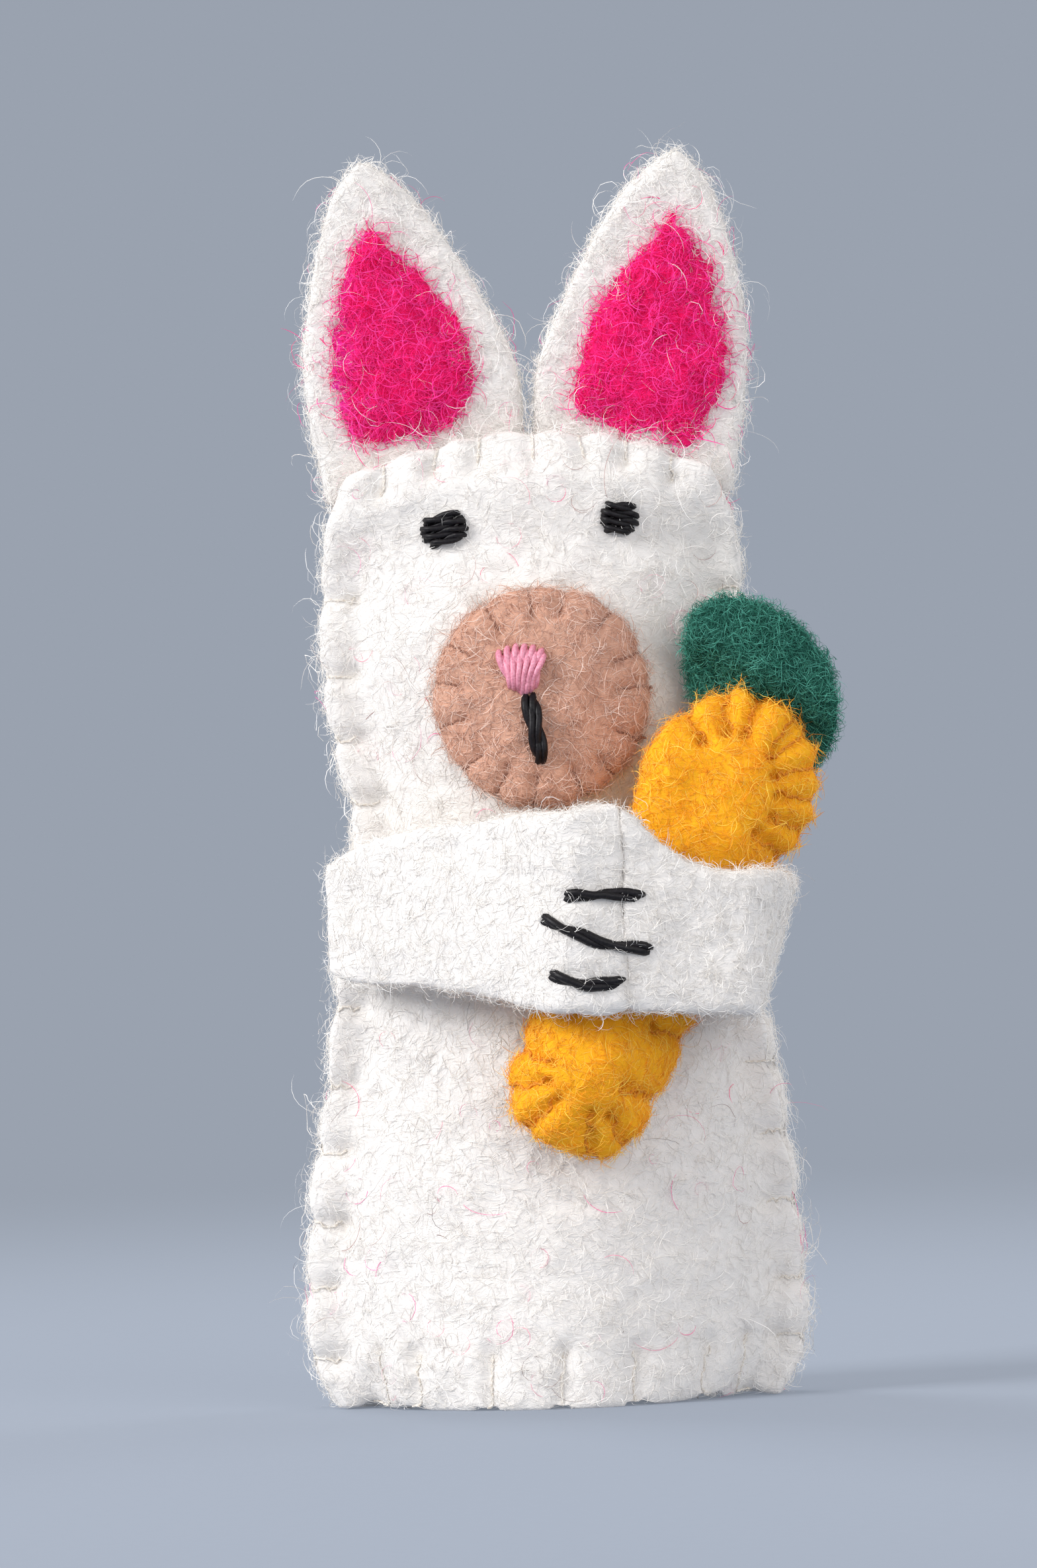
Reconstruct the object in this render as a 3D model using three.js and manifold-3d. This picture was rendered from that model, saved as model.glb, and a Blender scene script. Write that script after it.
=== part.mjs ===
// Rabbit finger puppet of wool felt, hugging a stuffed felt carrot.
// Millimetres. +Z is up, the face looks along -Y, and +X is to the right of someone facing it.
import * as THREE from "three";
import { mergeVertices } from "three/addons/utils/BufferGeometryUtils.js";
import Module from "manifold-3d";

const wasm = await Module();
wasm.setup();

// ---------- Cloth and thread ----------
const BODY_FELT = 2.6;
const EAR_FELT = 2.4;
const ARM_FELT = 2.4;
const MUZZLE_FELT = 2.0;
const CARROT_FELT = 1.5;
const LEAF_FELT = 2.0;
const PINK_WOOL = 1.0; // layer of loose wool needled onto each ear
const FLOSS = 1.0; // six-strand embroidery floss
const MOUTH_FLOSS = 1.3; // two passes of floss
const THREAD = 0.8; // sewing thread
const GAP = 0.3; // between pieces that touch
const LAID = GAP + THREAD / 2; // from a felt face to the middle of a thread on it

// ---------- Body: a tube of two panels, open at the hem ----------
const NECK_HEIGHT = 46;
const HEAD_HEIGHT = 30.5; // neck to the top edge of the forehead
const HEM_HALF_WIDTH = 17.4;
const SKIRT_HALF_WIDTH = 19.7;
const CHEST_HALF_WIDTH = 16.9;
const NECK_HALF_WIDTH = 14.8;
const CHEEK_HALF_WIDTH = 16.7;
const CROWN_HALF_WIDTH = 12.6;
const CORNER_DROP = 3.2; // how far the forehead's edge falls from its middle to its corners
const HEM_PUFF = 8.0; // half of the room inside, front to back, at the hem
const CHEST_PUFF = 5.4;
const HEAD_PUFF = 5.2;
const SEAM_ALLOWANCE = 2.8; // flat margin of each panel along the side seams
const TOP = NECK_HEIGHT + HEAD_HEIGHT;

// ---------- Ears ----------
const EAR_HEIGHT = 21.2; // above the line where an ear bends
const EAR_TUCK = 6; // length of ear sewn in between the panels
const EAR_BEND_CLEARANCE = 0.35;
const EAR_LINE = TOP + 0.6; // height of the line where the ears bend
const EAR_APART = 0.4; // from the middle of the head to each ear
const EAR_WIDTH = 16.7;
const PINK_START = 2.2; // above the bending line, so that the wool clears the forehead
const PINK_END = 15.6;

// ---------- Face ----------
const MUZZLE = { x: 0.3, z: TOP - 21, radius: 8.6 };
const NOSE = { x: -1.2, z: MUZZLE.z + 4.2, width: 3.3, height: 4.0, strands: 5 };
const MOUTH = { x: -0.7, length: 4.2, slant: 0.7 };
const LEFT_EYE = { x: -6.8, z: TOP - 7.5, length: 2.6, strands: 3, tilt: 0.3 };
const RIGHT_EYE = { x: 6.8, z: TOP - 7.1, length: 1.9, strands: 3, tilt: 0 };

// ---------- Carrot, lying aslant across the chest ----------
const CARROT = { x: 0, z: NECK_HEIGHT - 25.5, length: 38.6, tilt: THREE.MathUtils.degToRad(28) };
const CARROT_TIP_HALF_WIDTH = 5.9;
const CARROT_WAIST_HALF_WIDTH = 5.5;
const CARROT_BULB_HALF_WIDTH = 7.2;
const CARROT_TIP_STUFFING = 4.0;
const CARROT_WAIST_STUFFING = 2.8; // the arms press it thin
const CARROT_BULB_STUFFING = 5.0;
const STUFFING_CLEARANCE = 0.8; // loose wool, inside the carrot's two layers of felt
const STUFFING_EDGE = 0.3;
const CARROT_SEAT = 6; // least depth of its back, where the body curves away behind it
const LEAF = { width: 13, height: 5.4, x: -1.2 };
const LEAF_CLEARANCE = 0.7;

// ---------- Arms ----------
const ARM_LOW = NECK_HEIGHT - 15; // lower edge of the hands
const ARM_HAND_HEIGHT = 16;
const ARM_HEIGHT = 10.6;
const HAND_X = 5.7; // where the hands meet
const ARM_OVERHANG = 0.3; // of the arms' ends past what they go round
const RIGHT_ARM_END_DEPTH = 5;

// ---------- Stitching ----------
const STITCH_PITCH = 6;
const BITE = 2.3; // from an edge to the hole of a stitch
const HEM_BITE = 4.4;
const HEM_STITCH_END = 3; // from the seam margins to the hem's last stitches
const THREAD_SLACK = 0.2; // roundness of a thread's turns
const THREAD_BOW = 0.25; // how far such a turn bows out, under the hem
const STITCH_ROOM = GAP + THREAD + 0.4; // how far a bowed stitch stands out of the felt
const MUZZLE_STITCHES = 12;
const FOLD_HEIGHT = CARROT.z - 2.5; // a bent finger folds the tube just under the carrot

const WHITE = 0xf2efec;
const PINK = 0xe0146a;
const TAN = 0xc08e78;
const ORANGE = 0xf9a91a;
const GREEN = 0x2a5a4e;
const BLACK = 0x191417;
const ROSE = 0xe08fa5;

const { clamp, lerp, smoothstep } = THREE.MathUtils;

// ---------- Geometry helpers ----------

// A smooth function through a few stations, each a place and the size there.
function smooth(stations) {
  const places = stations.map(([place]) => place);
  const sizes = stations.map(([, size]) => size);
  const curve = new THREE.CubicInterpolant(places, sizes, 1);
  return (place) => curve.evaluate(clamp(place, places[0], places.at(-1)))[0];
}

// Merges the vertices of a closed geometry and turns its faces outwards.
function closed(geometry) {
  geometry.deleteAttribute("normal");
  geometry.deleteAttribute("uv");
  const merged = mergeVertices(geometry, 1e-4);
  const [a, b, c] = [new THREE.Vector3(), new THREE.Vector3(), new THREE.Vector3()];
  const { position } = merged.attributes;
  const { array } = merged.index;
  let volume = 0;
  for (let i = 0; i < array.length; i += 3) {
    a.fromBufferAttribute(position, array[i]);
    b.fromBufferAttribute(position, array[i + 1]);
    c.fromBufferAttribute(position, array[i + 2]);
    volume += a.dot(b.cross(c));
  }
  if (volume < 0) array.reverse();
  return merged;
}

function toSolid(geometry) {
  const { position } = geometry.attributes;
  return new wasm.Manifold(new wasm.Mesh({
    numProp: 3,
    vertProperties: Float32Array.from(position.array),
    triVerts: Uint32Array.from(geometry.index.array),
  }));
}

function toGeometry(solid) {
  const { vertProperties, triVerts } = solid.getMesh();
  const geometry = new THREE.BufferGeometry();
  geometry.setAttribute("position", new THREE.BufferAttribute(vertProperties, 3));
  geometry.setIndex(new THREE.BufferAttribute(triVerts, 1));
  return geometry;
}

function join(geometries) {
  return toGeometry(geometries.map(toSolid).reduce((whole, next) => whole.add(next)));
}

function cut(geometry, tools) {
  return toGeometry(tools.map(toSolid).reduce((rest, tool) => rest.subtract(tool), toSolid(geometry)));
}

// A closed layer of cloth. pointAt(across, along, face) gives its back, face 0, and its front,
// face 1, for across and along from 0 to 1.
function layer(columns, rows, pointAt) {
  const points = [];
  for (const face of [0, 1]) {
    for (let row = 0; row <= rows; row += 1) {
      for (let column = 0; column <= columns; column += 1) {
        points.push(...pointAt(column / columns, row / rows, face));
      }
    }
  }
  const index = [];
  const at = (column, row, face) => (face * (rows + 1) + row) * (columns + 1) + column;
  const quad = (a, b, c, d) => index.push(a, b, c, a, c, d);
  for (let row = 0; row < rows; row += 1) {
    for (let column = 0; column < columns; column += 1) {
      const corners = (face) => [
        at(column, row, face), at(column + 1, row, face),
        at(column + 1, row + 1, face), at(column, row + 1, face),
      ];
      quad(...corners(1));
      quad(...corners(0).reverse());
    }
    quad(at(0, row, 1), at(0, row + 1, 1), at(0, row + 1, 0), at(0, row, 0));
    quad(at(columns, row, 0), at(columns, row + 1, 0), at(columns, row + 1, 1), at(columns, row, 1));
  }
  for (let column = 0; column < columns; column += 1) {
    quad(at(column, 0, 0), at(column + 1, 0, 0), at(column + 1, 0, 1), at(column, 0, 1));
    quad(at(column, rows, 1), at(column + 1, rows, 1), at(column + 1, rows, 0), at(column, rows, 0));
  }
  const geometry = new THREE.BufferGeometry();
  geometry.setAttribute("position", new THREE.Float32BufferAttribute(points, 3));
  geometry.setIndex(index);
  return closed(geometry);
}

// A round thread along a smooth path through the points.
function thread(points, diameter, stepsPerSpan = 2, sides = 4) {
  const places = points.map((point) => new THREE.Vector3(...point));
  const path = new THREE.CatmullRomCurve3(places, false, "catmullrom", THREAD_SLACK);
  const section = new THREE.Shape();
  for (let side = 0; side < sides; side += 1) {
    const angle = (side / sides) * 2 * Math.PI;
    const [x, y] = [(Math.cos(angle) * diameter) / 2, (Math.sin(angle) * diameter) / 2];
    if (side === 0) section.moveTo(x, y);
    else section.lineTo(x, y);
  }
  const steps = (points.length - 1) * stepsPerSpan;
  return closed(new THREE.ExtrudeGeometry(section, { steps, bevelEnabled: false, extrudePath: path }));
}

// Evenly spread places from first to last, about one pitch apart.
function spread(first, last, pitch) {
  const count = Math.max(1, Math.round(Math.abs(last - first) / pitch));
  return Array.from({ length: count + 1 }, (_, i) => lerp(first, last, i / count));
}

// ---------- Shape of the body tube ----------

const halfWidth = smooth([
  [0, HEM_HALF_WIDTH],
  [2.2, SKIRT_HALF_WIDTH - 0.6],
  [7, SKIRT_HALF_WIDTH],
  [FOLD_HEIGHT, lerp(SKIRT_HALF_WIDTH, CHEST_HALF_WIDTH, 0.3)],
  [ARM_LOW + 1, CHEST_HALF_WIDTH],
  [NECK_HEIGHT, NECK_HALF_WIDTH],
  [NECK_HEIGHT + 7, lerp(NECK_HALF_WIDTH, CHEEK_HALF_WIDTH, 0.8)],
  [TOP - 13.5, CHEEK_HALF_WIDTH],
  [TOP - 6.5, CHEEK_HALF_WIDTH - 0.8],
  [TOP, CROWN_HALF_WIDTH],
]);

const puff = smooth([
  [0, HEM_PUFF],
  [FOLD_HEIGHT, lerp(HEM_PUFF, CHEST_PUFF, 0.4)],
  [NECK_HEIGHT - 8, CHEST_PUFF],
  [TOP - 16, HEAD_PUFF],
  [TOP - 8, HEAD_PUFF * 0.55],
  [TOP, 0],
]);

// Half of the space between the panels at the seam: they part to take in the ears.
function seamHalfGap(z) {
  const parting = smoothstep(z, TOP - EAR_TUCK - 3, TOP - EAR_TUCK);
  return lerp(GAP / 2, EAR_FELT / 2 + GAP, parting);
}

// From the middle of the tube to the inner face of a panel, and to its outer face.
function innerDepth(x, z) {
  const room = halfWidth(z) - SEAM_ALLOWANCE;
  const share = clamp(1 - Math.abs(x) / room, 0, 1);
  return seamHalfGap(z) + puff(z) * Math.sin((share * Math.PI) / 2) ** 0.8;
}

function outerDepth(x, z) {
  return innerDepth(x, z) + BODY_FELT;
}

const topEdge = (share) => TOP - CORNER_DROP * Math.abs(share) ** 3;

// Spreads columns over a panel so that one column lies on each edge of its flat seam margin.
function panelX(across, columns, z) {
  const share = 2 * across - 1;
  const flat = 1 - 2 / columns;
  const inside = halfWidth(z) - SEAM_ALLOWANCE;
  if (Math.abs(share) <= flat) return (share / flat) * inside;
  return Math.sign(share) * (inside + (SEAM_ALLOWANCE * (Math.abs(share) - flat)) / (1 - flat));
}

// ---------- Panels ----------

// side is -1 for the front and 1 for the back.
function panel(side, low, high, rows) {
  const columns = 12;
  return layer(columns, rows, (across, along, face) => {
    const z = lerp(low, high(2 * across - 1), along);
    const x = panelX(across, columns, z);
    const isOuter = (side < 0) === (face === 1);
    return [x, side * (isOuter ? outerDepth(x, z) : innerDepth(x, z)), z];
  });
}

const hemReach = Math.min(HEM_HALF_WIDTH, SKIRT_HALF_WIDTH) - SEAM_ALLOWANCE - HEM_STITCH_END;
const hemPlaces = spread(-hemReach, hemReach, STITCH_PITCH);

// The hem is nicked at each stitch, so that the tube stands on felt and not on thread.
function skirtPanel(side) {
  const felt = panel(side, 0, () => FOLD_HEIGHT - GAP / 2, 5);
  const nicks = hemPlaces.map((x) => {
    const depth = (innerDepth(x, 0) + outerDepth(x, 0)) / 2;
    const nick = new THREE.BoxGeometry(THREAD + 2 * GAP, BODY_FELT * 2.4, 2 * (THREAD + THREAD_BOW + GAP));
    nick.translate(x, side * depth, 0);
    return closed(nick);
  });
  return cut(felt, nicks);
}

function chestPanel(side) {
  return panel(side, FOLD_HEIGHT + GAP / 2, topEdge, 14);
}

// ---------- Stitching of the body ----------

function hemStitch(side) {
  const bites = hemPlaces.map((x) => {
    const outside = (z) => [x, side * (outerDepth(x, z) + LAID), z];
    const inside = (z) => [x, side * (innerDepth(x, z) - LAID), z];
    const under = THREAD / 2 + THREAD_BOW;
    return thread([outside(HEM_BITE), outside(under), inside(under), inside(HEM_BITE)], THREAD);
  });
  const run = spread(hemPlaces[0], hemPlaces.at(-1), STITCH_PITCH / 2)
    .map((x) => [x, side * (innerDepth(x, HEM_BITE) - LAID), HEM_BITE - THREAD / 2]);
  return join([thread(run, THREAD, 1), ...bites]);
}

function sideStitch(side, low, high) {
  const places = spread(low, high, STITCH_PITCH);
  const edge = (z) => side * (halfWidth(z) + LAID);
  const bites = places.map((z) => {
    const depth = outerDepth(halfWidth(z), z) + LAID;
    const hole = side * (halfWidth(z) - BITE);
    return thread([[hole, -depth, z], [edge(z), -depth, z], [edge(z), depth, z], [hole, depth, z]], THREAD);
  });
  const run = [low - THREAD, ...places, high + THREAD].map((z) => [edge(z), 0, z]);
  return join([thread(run, THREAD, 1), ...bites]);
}

function headStitch(side) {
  const reach = 0.84;
  const edge = (share) => {
    const z = topEdge(share);
    const x = share * halfWidth(z);
    return [x, side * (innerDepth(x, z) + BODY_FELT / 2), z + LAID];
  };
  const bites = spread(-reach, reach, 2 * reach / 6).map((share) => {
    const [x, middle, z] = edge(share);
    const low = z - LAID - BITE;
    return thread([[x, middle, z], [x, side * (outerDepth(x, z) + LAID), z - 0.3],
      [x, side * (outerDepth(x, low) + LAID), low]], THREAD);
  });
  const run = spread(-reach - 0.03, reach + 0.03, 0.14).map(edge);
  return join([thread(run, THREAD, 1), ...bites]);
}

// ---------- Ears ----------

// Outer and inner edge of an ear, by height as a share of the ear above its bending line.
const earOuter = smooth([[-0.31, 0.93], [0, 0.99], [0.21, 1.024], [0.38, 1.012], [0.61, 0.97],
  [0.85, 0.885], [0.94, 0.825], [1, 0.75]]);
const earInner = smooth([[-0.31, 0], [0, 0], [0.21, 0.024], [0.38, 0.108], [0.61, 0.258],
  [0.85, 0.467], [0.94, 0.575], [1, 0.68]]);
const earX = (share, across) => EAR_APART + EAR_WIDTH * lerp(earOuter(share), earInner(share), across);

// side is -1 for the ear at -X. low and high are heights from the bending line.
function earLayer(side, low, high, rows) {
  return layer(4, rows, (across, along, face) => {
    const height = lerp(low, high, along);
    return [side * earX(height / EAR_HEIGHT, across), (face ? -EAR_FELT : EAR_FELT) / 2, height];
  });
}

const pinkOuter = smooth([[0, 0.16], [0.22, 0.12], [0.6, 0.17], [0.82, 0.25], [1, 0.36]]);
const pinkInner = smooth([[0, 0.71], [0.22, 0.81], [0.6, 0.84], [0.82, 0.76], [1, 0.48]]);

function earInnerLayer(side) {
  return layer(4, 7, (across, along, face) => {
    const height = lerp(PINK_START, PINK_END, along);
    const place = lerp(pinkOuter(along), pinkInner(along), across);
    const depth = EAR_FELT / 2 + GAP + (face ? PINK_WOOL : 0);
    return [side * earX(height / EAR_HEIGHT, place), -depth, height];
  });
}

// ---------- Face ----------

function muzzle() {
  const { radius } = MUZZLE;
  const profile = [[0, 0], [0.35, 0], [0.7, 0], [1, 0], [1, 0.55], [0.93, 0.92], [0.7, 1], [0.35, 1], [0, 1]];
  const disc = new THREE.LatheGeometry(profile.map(([r, t]) => new THREE.Vector2(r * radius, t * MUZZLE_FELT)), 24);
  const { position } = disc.attributes;
  for (let i = 0; i < position.count; i += 1) {
    const x = MUZZLE.x + position.getX(i);
    const z = MUZZLE.z + position.getZ(i);
    position.setXYZ(i, x, -(outerDepth(x, z) + GAP + position.getY(i)), z);
  }
  return closed(disc);
}

function muzzleStitch() {
  const place = (angle, radius, lift) => {
    const x = MUZZLE.x + radius * Math.cos(angle);
    const z = MUZZLE.z + radius * Math.sin(angle);
    return [x, -(outerDepth(x, z) + GAP + lift), z];
  };
  const rim = MUZZLE.radius + LAID;
  const start = Math.PI / 2;
  const turn = 2 * Math.PI;
  const run = spread(start, start + turn * 0.985, turn / 24).map((angle) => place(angle, rim, THREAD / 2));
  const bites = Array.from({ length: MUZZLE_STITCHES }, (_, i) => {
    const angle = start + ((i + 0.3) / MUZZLE_STITCHES) * turn;
    const over = MUZZLE_FELT + LAID;
    return thread([place(angle, rim, THREAD / 2), place(angle, rim, over),
      place(angle, MUZZLE.radius - BITE, over)], THREAD);
  });
  return join([thread(run, THREAD, 1), ...bites]);
}

const faceSurface = (x, z) => outerDepth(x, z);
const muzzleSurface = (x, z) => outerDepth(x, z) + GAP + MUZZLE_FELT;

// One strand of floss laid on a surface, from one place to another, bowed outwards in its middle.
function laidStrand(surface, from, to, diameter = FLOSS) {
  const bow = [0.05, 0.25, 0.25, 0.05];
  const points = bow.map((lift, i) => {
    const [x, z] = [0, 1].map((axis) => lerp(from[axis], to[axis], i / (bow.length - 1)));
    return [x, -(surface(x, z) + GAP + diameter / 2 + lift), z];
  });
  return thread(points, diameter, 1, 5);
}

function nose() {
  const strands = Array.from({ length: NOSE.strands }, (_, i) => {
    const share = (i / (NOSE.strands - 1)) * 2 - 1;
    const x = NOSE.x + (share * NOSE.width) / 2;
    const foot = NOSE.x + share * FLOSS * 0.6;
    const z = NOSE.z - 0.35 * share * share;
    return laidStrand(muzzleSurface, [x, z], [foot, NOSE.z - NOSE.height + 0.4 * share * share]);
  });
  return join(strands);
}

function mouth() {
  const z = NOSE.z - NOSE.height - GAP - FLOSS / 2;
  return laidStrand(muzzleSurface, [MOUTH.x, z], [MOUTH.x + MOUTH.slant, z - MOUTH.length], MOUTH_FLOSS);
}

function eye({ x, z, length, strands, tilt }) {
  const along = [Math.cos(tilt), Math.sin(tilt)];
  const laid = Array.from({ length: strands }, (_, i) => {
    const offset = (i - (strands - 1) / 2) * FLOSS * 0.75;
    const half = length / 2 - Math.abs(offset) * 0.3;
    const end = (way) => [x + way * half * along[0] - offset * along[1], z + way * half * along[1] + offset * along[0]];
    return laidStrand(faceSurface, end(-1), end(1));
  });
  return join(laid);
}

// ---------- Carrot ----------
// Its pieces are made in its own frame: +Z from its tip to its crown, and +X across it.

const carrotHalfWidth = smooth([
  [0, CARROT_TIP_HALF_WIDTH - 2.4],
  [1.8, CARROT_TIP_HALF_WIDTH - 0.5],
  [6, CARROT_TIP_HALF_WIDTH],
  [CARROT.length - 21, CARROT_WAIST_HALF_WIDTH],
  [CARROT.length - 13, CARROT_WAIST_HALF_WIDTH + 0.4],
  [CARROT.length - 8, CARROT_BULB_HALF_WIDTH],
  [CARROT.length - 4.6, CARROT_BULB_HALF_WIDTH - 0.7],
  [CARROT.length - 1.8, CARROT_BULB_HALF_WIDTH - 2.4],
  [CARROT.length, CARROT_BULB_HALF_WIDTH - 4.4],
]);

const stuffing = smooth([
  [0, 0.6],
  [5, CARROT_TIP_STUFFING],
  [CARROT.length - 22, CARROT_WAIST_STUFFING],
  [CARROT.length - 10, CARROT_BULB_STUFFING],
  [CARROT.length - 4, CARROT_BULB_STUFFING * 0.6],
  [CARROT.length, 0.6],
]);

const SIN = Math.sin(CARROT.tilt);
const COS = Math.cos(CARROT.tilt);

// Depth of what lies behind the carrot: the body, and the muzzle with its stitching on it.
function chestDepth(x, z) {
  const body = Math.abs(x) < halfWidth(z) ? outerDepth(x, z) : 0;
  const fromMuzzle = Math.hypot(x - MUZZLE.x, z - MUZZLE.z) - MUZZLE.radius;
  return body + (MUZZLE_FELT + 2 * GAP + THREAD) * (1 - smoothstep(fromMuzzle, 2, 7));
}

// Depth of the carrot's back face: on the chest, or on a plane where the body curves away,
// with a soft turn from one to the other.
function carrotBack(across, along) {
  const x = CARROT.x + across * COS + along * SIN;
  const z = CARROT.z - across * SIN + along * COS;
  const chest = chestDepth(x, z);
  const deepest = (chest + CARROT_SEAT + Math.hypot(chest - CARROT_SEAT, 2)) / 2;
  return deepest + 2 * GAP + THREAD;
}

function carrotBulge(across, along) {
  const share = clamp(Math.abs(across) / carrotHalfWidth(along), 0, 1);
  return stuffing(along) * (1 - share ** 2.4);
}

const carrotSplit = (across, along) => carrotBack(across, along) + CARROT_FELT + GAP / 2;
const carrotFront = (across, along) => {
  return carrotSplit(across, along) + GAP / 2 + carrotBulge(across, along) + CARROT_FELT;
};

function carrotLayer(backDepth, frontDepth, inset = 0) {
  return layer(6, 14, (across, along, face) => {
    const z = lerp(inset, CARROT.length - inset, along);
    const x = (2 * across - 1) * (carrotHalfWidth(z) - inset);
    return [x, -(face ? frontDepth(x, z) : backDepth(x, z)), z];
  });
}

const carrotBackFelt = () => carrotLayer(carrotBack, (x, z) => carrotBack(x, z) + CARROT_FELT);
const carrotFrontFelt = () => carrotLayer((x, z) => carrotFront(x, z) - CARROT_FELT, carrotFront);

function carrotStuffing() {
  const back = (x, z) => carrotSplit(x, z) - GAP / 2 + STUFFING_CLEARANCE;
  const thickness = (x, z) => carrotBulge(x, z) + GAP - 2 * STUFFING_CLEARANCE;
  return carrotLayer(back, (x, z) => back(x, z) + Math.max(thickness(x, z), STUFFING_EDGE), BITE);
}

// The rim of the carrot from beside its tip, over its crown and back, as across and along.
function carrotRim() {
  const heights = spread(1.8, CARROT.length - 1.8, STITCH_PITCH * 0.6);
  const side = (way) => heights.map((along) => {
    const slope = carrotHalfWidth(along + 0.5) - carrotHalfWidth(along - 0.5);
    const out = new THREE.Vector2(1, -slope).setLength(LAID + THREAD_BOW);
    return [way * (carrotHalfWidth(along) + out.x), along + out.y];
  });
  const crown = [-0.5, 0.5].map((share) => [share * 2 * carrotHalfWidth(CARROT.length), CARROT.length + LAID]);
  return [...side(-1), ...crown, ...side(1).reverse()];
}

function carrotStitch() {
  const rim = carrotRim();
  const run = rim.map(([x, z]) => [x, -carrotSplit(x, z), z]);
  const bites = rim.filter((_, i) => i % 2 === 1).map(([x, z]) => {
    const inwards = new THREE.Vector2(-x, clamp(z, 6, CARROT.length - 6) - z).normalize();
    const hole = [x + inwards.x * (BITE + LAID), z + inwards.y * (BITE + LAID)];
    const front = (place) => -(carrotFront(...place) + LAID);
    const back = (place) => -(carrotBack(...place) - LAID);
    return thread([
      [hole[0], front(hole), hole[1]], [x, front([x, z]), z], [x, -carrotSplit(x, z), z],
      [x, back([x, z]), z], [hole[0], back(hole), hole[1]],
    ], THREAD);
  });
  return join([thread(run, THREAD, 1), ...bites]);
}

const LEAF_START = CARROT.length + GAP + THREAD + LEAF_CLEARANCE;

function leaf() {
  const depth = carrotSplit(0, CARROT.length);
  const width = smooth([[0, 0.94], [0.35, 1], [0.75, 0.84], [1, 0.5]]);
  return layer(6, 5, (across, along, face) => {
    const x = LEAF.x + (across - 0.5) * LEAF.width * width(along);
    return [x, -depth + (face ? -LEAF_FELT : LEAF_FELT) / 2, LEAF_START + along * LEAF.height];
  });
}

// ---------- Arms ----------
// A strap pulled tight lies on the convex hull of what it goes round, so the arms follow the
// hull of the chest, the side seams' thread and the carrot, seen from above: x and depth.

function carrotDepthAt(x, z) {
  const [dx, dz] = [x - CARROT.x, z - CARROT.z];
  const across = dx * COS - dz * SIN;
  const along = clamp(dx * SIN + dz * COS, 0, CARROT.length);
  const inside = carrotHalfWidth(along) - Math.abs(across);
  if (inside < -GAP - THREAD) return 0;
  return carrotFront(across, along) + (inside < BITE + THREAD ? STITCH_ROOM : 0);
}

const HAND_TOP = ARM_LOW + ARM_HAND_HEIGHT;

// Lower and upper edge of the arms, by the place across the chest.
const armBottom = smooth([
  [-CHEST_HALF_WIDTH, ARM_LOW + 2.5],
  [HAND_X - 10, ARM_LOW + 1.6],
  [HAND_X - 5, ARM_LOW + 0.1],
  [HAND_X, ARM_LOW],
  [HAND_X + 12, ARM_LOW - 0.8],
]);
const armTop = smooth([
  [-CHEST_HALF_WIDTH, HAND_TOP - 3.1],
  [HAND_X - 11, HAND_TOP - 0.9],
  [HAND_X - 4, HAND_TOP - 0.5],
  [HAND_X, HAND_TOP],
  [HAND_X + 3.6, HAND_TOP - 3.8],
  [HAND_X + 6.6, ARM_LOW + ARM_HEIGHT + 0.2],
  [HAND_X + 14, ARM_LOW + ARM_HEIGHT - 0.2],
]);

function armHull() {
  const depthAt = (x) => Math.max(...spread(armBottom(x) - 0.5, armTop(x) + 0.5, 1).map((z) => {
    const body = Math.abs(x) < halfWidth(z) ? outerDepth(x, z) : 0;
    return Math.max(body, carrotDepthAt(x, z));
  }));
  const side = halfWidth(ARM_LOW);
  const obstacles = spread(-side, CARROT.x + CARROT.length, 0.8)
    .map((x) => new THREE.Vector2(x, depthAt(x)))
    .filter((point) => point.y > 0);
  const leftEnd = new THREE.Vector2(-side - ARM_OVERHANG, outerDepth(side, ARM_LOW) + GAP + THREAD);
  const rightEnd = new THREE.Vector2(obstacles.at(-1).x + ARM_OVERHANG, RIGHT_ARM_END_DEPTH);
  const hull = [];
  const turnsOut = (a, b, c) => b.clone().sub(a).cross(c.clone().sub(a)) >= 0;
  for (const point of [leftEnd, ...obstacles, rightEnd]) {
    while (hull.length > 1 && turnsOut(hull.at(-2), hull.at(-1), point)) hull.pop();
    hull.push(point);
  }
  return hull;
}

const hull = armHull();

function hullPoint(x) {
  const next = clamp(hull.filter((point) => point.x < x).length, 1, hull.length - 1);
  const [from, to] = [hull[next - 1], hull[next]];
  return from.clone().lerp(to, (x - from.x) / (to.x - from.x));
}

// The line of an arm from one place across the chest to another, with no long or tiny spans.
function armLine(first, last) {
  const line = [hullPoint(first)];
  const rest = [...hull.filter((point) => point.x > first && point.x < last), hullPoint(last)];
  for (const point of rest) {
    const from = line.at(-1);
    const pieces = Math.ceil(from.distanceTo(point) / 3);
    if (from.distanceTo(point) < 0.3) continue;
    for (let i = 1; i <= pieces; i += 1) line.push(from.clone().lerp(point, i / pieces));
  }
  return line;
}

// The way out of an arm's line at one of its points.
function wayOut(line, i) {
  const along = line[Math.min(i + 1, line.length - 1)].clone().sub(line[Math.max(i - 1, 0)]);
  return new THREE.Vector2(-along.y, along.x).normalize();
}

function arm(first, last) {
  const line = armLine(first, last);
  const columns = line.length - 1;
  return layer(columns, 3, (across, along, face) => {
    const i = Math.round(across * columns);
    const point = line[i].clone().addScaledVector(wayOut(line, i), GAP + (face ? ARM_FELT : 0));
    return [point.x, -point.y, lerp(armBottom(line[i].x), armTop(line[i].x), along)];
  });
}

const leftArm = () => arm(hull[0].x, HAND_X - GAP / 2);
const rightArm = () => arm(HAND_X + GAP / 2, hull.at(-1).x);

// Depth of the arms' front face: the felt smooths out what is shorter than the reach here.
function armFront(x) {
  const reach = 1.2;
  return GAP + ARM_FELT + Math.max(...[-reach, 0, reach].map((step) => hullPoint(x + step).y));
}

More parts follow.
